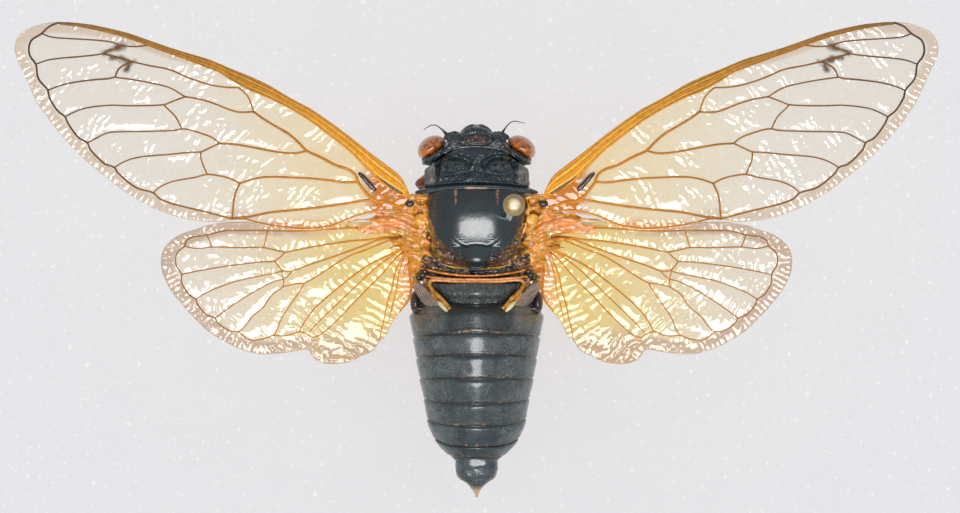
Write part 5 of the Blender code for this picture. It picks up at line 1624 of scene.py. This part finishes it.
rootSheets = (  # flattened lumps that close the gaps: place on the right half, half sizes, turn about Z
    ((5.25, 3.6, 26.3), (0.9, 1.1, 0.3), 10), ((5.1, 2.3, 26.1), (1.0, 1.2, 0.35), 0),
    ((4.75, 1.2, 25.9), (0.8, 1.3, 0.4), 15), ((4.9, 0.2, 25.6), (0.8, 1.0, 0.4), 0),
    ((4.4, -0.6, 25.6), (0.6, 0.8, 0.4), 0), ((7.3, 2.45, 26.1), (2.6, 0.6, 0.2), -8),
    ((6.8, 3.2, 26.3), (2.1, 0.55, 0.18), -6), ((4.35, 2.4, 26.35), (0.45, 1.7, 0.4), 0),
    ((4.3, 4.2, 26.4), (0.5, 0.9, 0.35), 0), ((4.2, 0.6, 26.0), (0.6, 0.9, 0.4), 0),
    ((4.55, 4.4, 26.6), (0.5, 0.8, 0.3), 0), ((6.1, 4.3, 26.6), (0.8, 0.5, 0.12), 20),
    ((6.2, 1.1, 25.5), (0.9, 0.5, 0.2), 15), ((5.05, -1.05, 25.5), (0.5, 0.8, 0.3), 0),
    ((4.98, -2.1, 25.35), (0.42, 0.8, 0.22), 0),
)


def rootTint(co):
    out, v = abs(co.x), co.y
    colour = mixed(colours["orange"], colours["gold"], clamp(0.5 + 1.6 * grain(co, 0.35, 2.0)))
    pleat = hump(2.7, 0.9, v + 0.18 * (out - 6.0)) * ease(4.9, 5.8, out)
    pleat = max(pleat, ease(5.3, 6.3, out) * ease(0.6, -0.2, v))
    pink = clamp(0.85 * pleat + 0.5 * ease(0.1, 0.35, grain(co, 0.5, 7.0)))
    colour = mixed(colour, paint(236, 152, 88), pink)
    line = ease(0.3, 0.42, grain(co, 0.3, 11.0)) * (1 - pleat)
    colour = mixed(colour, colours["rust"], 0.6 * line)
    # pale whitish streaks on the pink pleats: partly whitish membrane, partly painted glints
    pale = 0.8 * pleat * ease(0.22, 0.4, grain((out * 0.4, v, 3.0), 0.16, 5.0))
    return mixed(colour, paint(238, 220, 206), pale)


def rootDepth(co, normal):
    folds = rootLook["folds"] * crumple(Vector((co.x * 0.6, co.y * 1.5, co.z)), 0.85, 2)
    return folds + rootLook["fine"] * ripple(co, 0.15, 2)


def padTint(co):
    return mixed(paint(226, 166, 62), colours["orange"], clamp(0.3 + grain(co, 0.4)))


def streakTint(co):
    violet = ease(8.0, 8.4, abs(co.x)) * ease(0.2, 0.4, grain(co, 0.14))
    return mixed(paint(40, 16, 12), paint(110, 80, 96), violet)


for sideName, side in sides:
    def across(px, py, z, radius):
        x, y, z = Vector(there(px, py, z))
        return (-side * x, y, z, radius)

    shapes = [tubes([smoothLine([across(*point) for point in points], 0.15)], 3) for points in foldRoutes]
    shapes += [blob((side * x, y, z), half, turned(side * turn)) for (x, y, z), half, turn in rootSheets]
    flesh = pushed(fused(shapes, rootLook["voxel"], rootLook["rounds"]), rootDepth)
    finishPiece("wingRoot" + sideName, flesh, amberShell, [], rootTint)
    (x, y, z), half, tilt = rootLook["pad"]
    pad = pushed(blob((side * x, y, z), half, turned(side * tilt, "Y")), lambda co, n: 0.05 * grain(co, 0.35))
    finishPiece("hingePad" + sideName, pad, amberShell, [], padTint)
    (x, y, z), half, heading = rootLook["knob"]
    knob = blob((side * x, y, z), half, turned(side * heading))
    finishPiece("hingeKnob" + sideName, knob, glossShell, [], lambda co: colours["black"])
    streaks = []
    for line in rootLook["streaks"]:
        points = [(side * u, v, foreLevel(u, v) + rootLook["streakLift"], r) for u, v, r in line]
        streaks.append(smoothLine(points, 0.12))
    streaks = tubes(streaks, 3)
    finishPiece("darkStreaks" + sideName, streaks, glossShell, [], streakTint)
print("wing roots made")

# Pin and board
pinLook = {
    "entry": Vector((2.6, 3.13, 29.0)), "lean": Vector((0.035, 0.095, 1.0)),
    "shaft": ((1.5, 0.03), (4.2, 0.2), (4.8, 0.25), (38.4, 0.25)),  # height and radius, from the point up
    "head": (0.87, 0.87, 0.7), "headAt": 38.55, "highlightAt": 39.2, "topHighlight": (0.2, 0.6), "highlightDrift": 0.5,
}


def onPin(height):
    return pinLook["entry"] + pinLook["lean"] * (height - pinLook["entry"].z)


steel, tree, shader, place = newFinish("drawnSteel")
drawn = grains(tree, place, 0.12, 4.0, 0.6, (1, 1, 0.05))
fill(tree, shader, {
    "Roughness": between(tree, drawn, 0.16, 0.34), "Metallic": 1.0,
    "Base Color": mixColour(tree, grains(tree, place, 0.8), (0.5, 0.5, 0.51), (0.62, 0.62, 0.63)),
})
shaft = [(*onPin(height), radius) for height, radius in pinLook["shaft"]]
finishPiece("pinShaft", tubes([shaft], 8), steel, ["stand_pin"])

nylon, tree, shader, place = newFinish("creamNylon")
# painted highlight: a cream spot on the top of the pin head, where the light falls
ends = {0: place, 1: onPin(pinLook["highlightAt"]) * mm}
ring = put(tree, "VectorMath", ends, operation="DISTANCE").outputs["Value"]
ring = maths(tree, "ADD", ring, drift(tree, grains(tree, place, 0.3), pinLook["highlightDrift"] * mm))
topHighlight = ranged(tree, ring, *(radius * mm for radius in pinLook["topHighlight"]), 1.0, 0.0)
body = mixColour(tree, grains(tree, place, 0.25), paint(118, 94, 46), paint(170, 148, 94))
fill(tree, shader, {
    "Base Color": mixColour(tree, topHighlight, body, paint(238, 228, 196)),
    "Roughness": between(tree, grains(tree, place, 0.3), 0.2, 0.34),
    "Subsurface Weight": 0.5, "Subsurface Scale": 0.6 * mm, "Coat Weight": 0.4,
})
lean = Vector((0, 0, 1)).rotation_difference(pinLook["lean"]).to_matrix().to_4x4()
bead = blob(onPin(pinLook["headAt"]), pinLook["head"], lean, 48, 32)
bead = pushed(bead, lambda co, n: 0.01 * grain(co, 0.5))
finishPiece("pinHead", bead, nylon, ["stand_pin"])

boardLook = {
    "size": (92.0, 56.0, 9.5), "edge": 0.7, "cell": 0.55, "cellDepth": 0.05, "fleck": 0.5, "cloud": 9.0,
}
boardFinish, tree, shader, place = newFinish("paleBoard")
boardCells = cells(tree, place, boardLook["cell"])
# brighter flecks on the board: painted highlights for the foam's sparkles
sparkleGlints = ranged(tree, grains(tree, place, boardLook["fleck"], 1.0, 0.4), 0.66, 0.76, 0.0, 1.0)
base = mixColour(tree, grains(tree, place, boardLook["cloud"], 3.0), (0.8, 0.8, 0.82), (0.84, 0.84, 0.86))
fill(tree, shader, {"Base Color": mixColour(tree, sparkleGlints, base, (0.93, 0.93, 0.94)), "Roughness": 0.75})
bumped(tree, shader, [(boardCells, boardLook["cellDepth"])])
bm = bmesh.new()
bmesh.ops.create_cube(bm, size=1.0)
bmesh.ops.scale(bm, vec=boardLook["size"], verts=bm.verts)
bmesh.ops.translate(bm, vec=(0, 0, boardLook["size"][2] / 2), verts=bm.verts)
bmesh.ops.bevel(bm, geom=bm.edges, offset=boardLook["edge"], segments=4, profile=0.5, affect="EDGES")
finishPiece("board", bm, boardFinish, ["stand_base"])
print("pin and board made")


# Studio

studio = {
    "floorSize": 1.4, "floorDrop": 0.0002, "floorCloud": 60.0, "floorShade": (0.76, 0.8), "world": 0.42,
    "worldColour": (0.97, 0.98, 1.0), "camera": (0.00028, 0.0, 0.3765), "lens": 161.2, "insect": 0.0265,
    # a softbox for the insect, towards its tail, and an even one for board and floor
    "softbox": {"size": (0.24, 0.15), "tilt": 24.0, "distance": 0.25, "radiance": 7.0},
    "overhead": {"size": (0.6, 0.6), "tilt": 0.0, "distance": 0.6, "radiance": 2.35},
}


def lampOver(name, look, lit, shading=None):
    width, height = look["size"]
    lamp = bpy.data.lights.new(name, "AREA")
    lamp.shape = "ELLIPSE"
    lamp.size = width
    lamp.size_y = height
    lamp.energy = look["radiance"] * math.pi * width * height
    box = bpy.data.objects.new(name, lamp)
    tilt = math.radians(look["tilt"])
    away = look["distance"]
    box.location = (0.0, -away * math.sin(tilt), studio["insect"] + away * math.cos(tilt))
    box.rotation_euler = (-tilt, 0.0, 0.0)
    bpy.context.scene.collection.objects.link(box)
    box.light_linking.receiver_collection = lit
    if shading:
        box.light_linking.blocker_collection = shading


def makeStudio():
    bm = bmesh.new()
    bmesh.ops.create_grid(bm, x_segments=2, y_segments=2, size=studio["floorSize"] / 2)
    bmesh.ops.translate(bm, vec=(0, 0, -studio["floorDrop"]), verts=bm.verts)
    mesh = bpy.data.meshes.new("floor")
    bm.to_mesh(mesh)
    bm.free()
    floor = bpy.data.objects.new("floor", mesh)
    bpy.context.scene.collection.objects.link(floor)
    paleFloor, tree, shader, place = newFinish("paleFloor")
    soft = between(tree, grains(tree, place, studio["floorCloud"], 3.0), *studio["floorShade"])
    grey = put(tree, "CombineColor", {0: soft, 1: soft, 2: soft}).outputs[0]
    fill(tree, shader, {"Base Color": grey, "Roughness": 0.9})
    mesh.materials.append(paleFloor)

    world = bpy.data.worlds.new("paleWorld")
    bpy.context.scene.world = world
    world.use_nodes = True
    sky = world.node_tree.nodes["Background"]
    sky.inputs["Color"].default_value = (*studio["worldColour"], 1.0)
    sky.inputs["Strength"].default_value = studio["world"]

    insect = bpy.data.collections.new("insect")
    surroundings = bpy.data.collections.new("surroundings")
    for thing in bpy.context.scene.objects:
        if thing.type == "MESH":
            (surroundings if thing.name in ("board", "floor") else insect).objects.link(thing)
    lampOver("softbox", studio["softbox"], insect)
    lampOver("overhead", studio["overhead"], surroundings, surroundings)

    lens = bpy.data.cameras.new("camera")
    lens.lens = studio["lens"]
    lens.sensor_width = 36.0
    lens.clip_start = 0.01
    lens.clip_end = 10.0
    camera = bpy.data.objects.new("camera", lens)
    camera.location = studio["camera"]
    bpy.context.scene.collection.objects.link(camera)
    bpy.context.scene.camera = camera
    bpy.context.scene.view_settings.view_transform = "Standard"


makeStudio()
print("studio set")
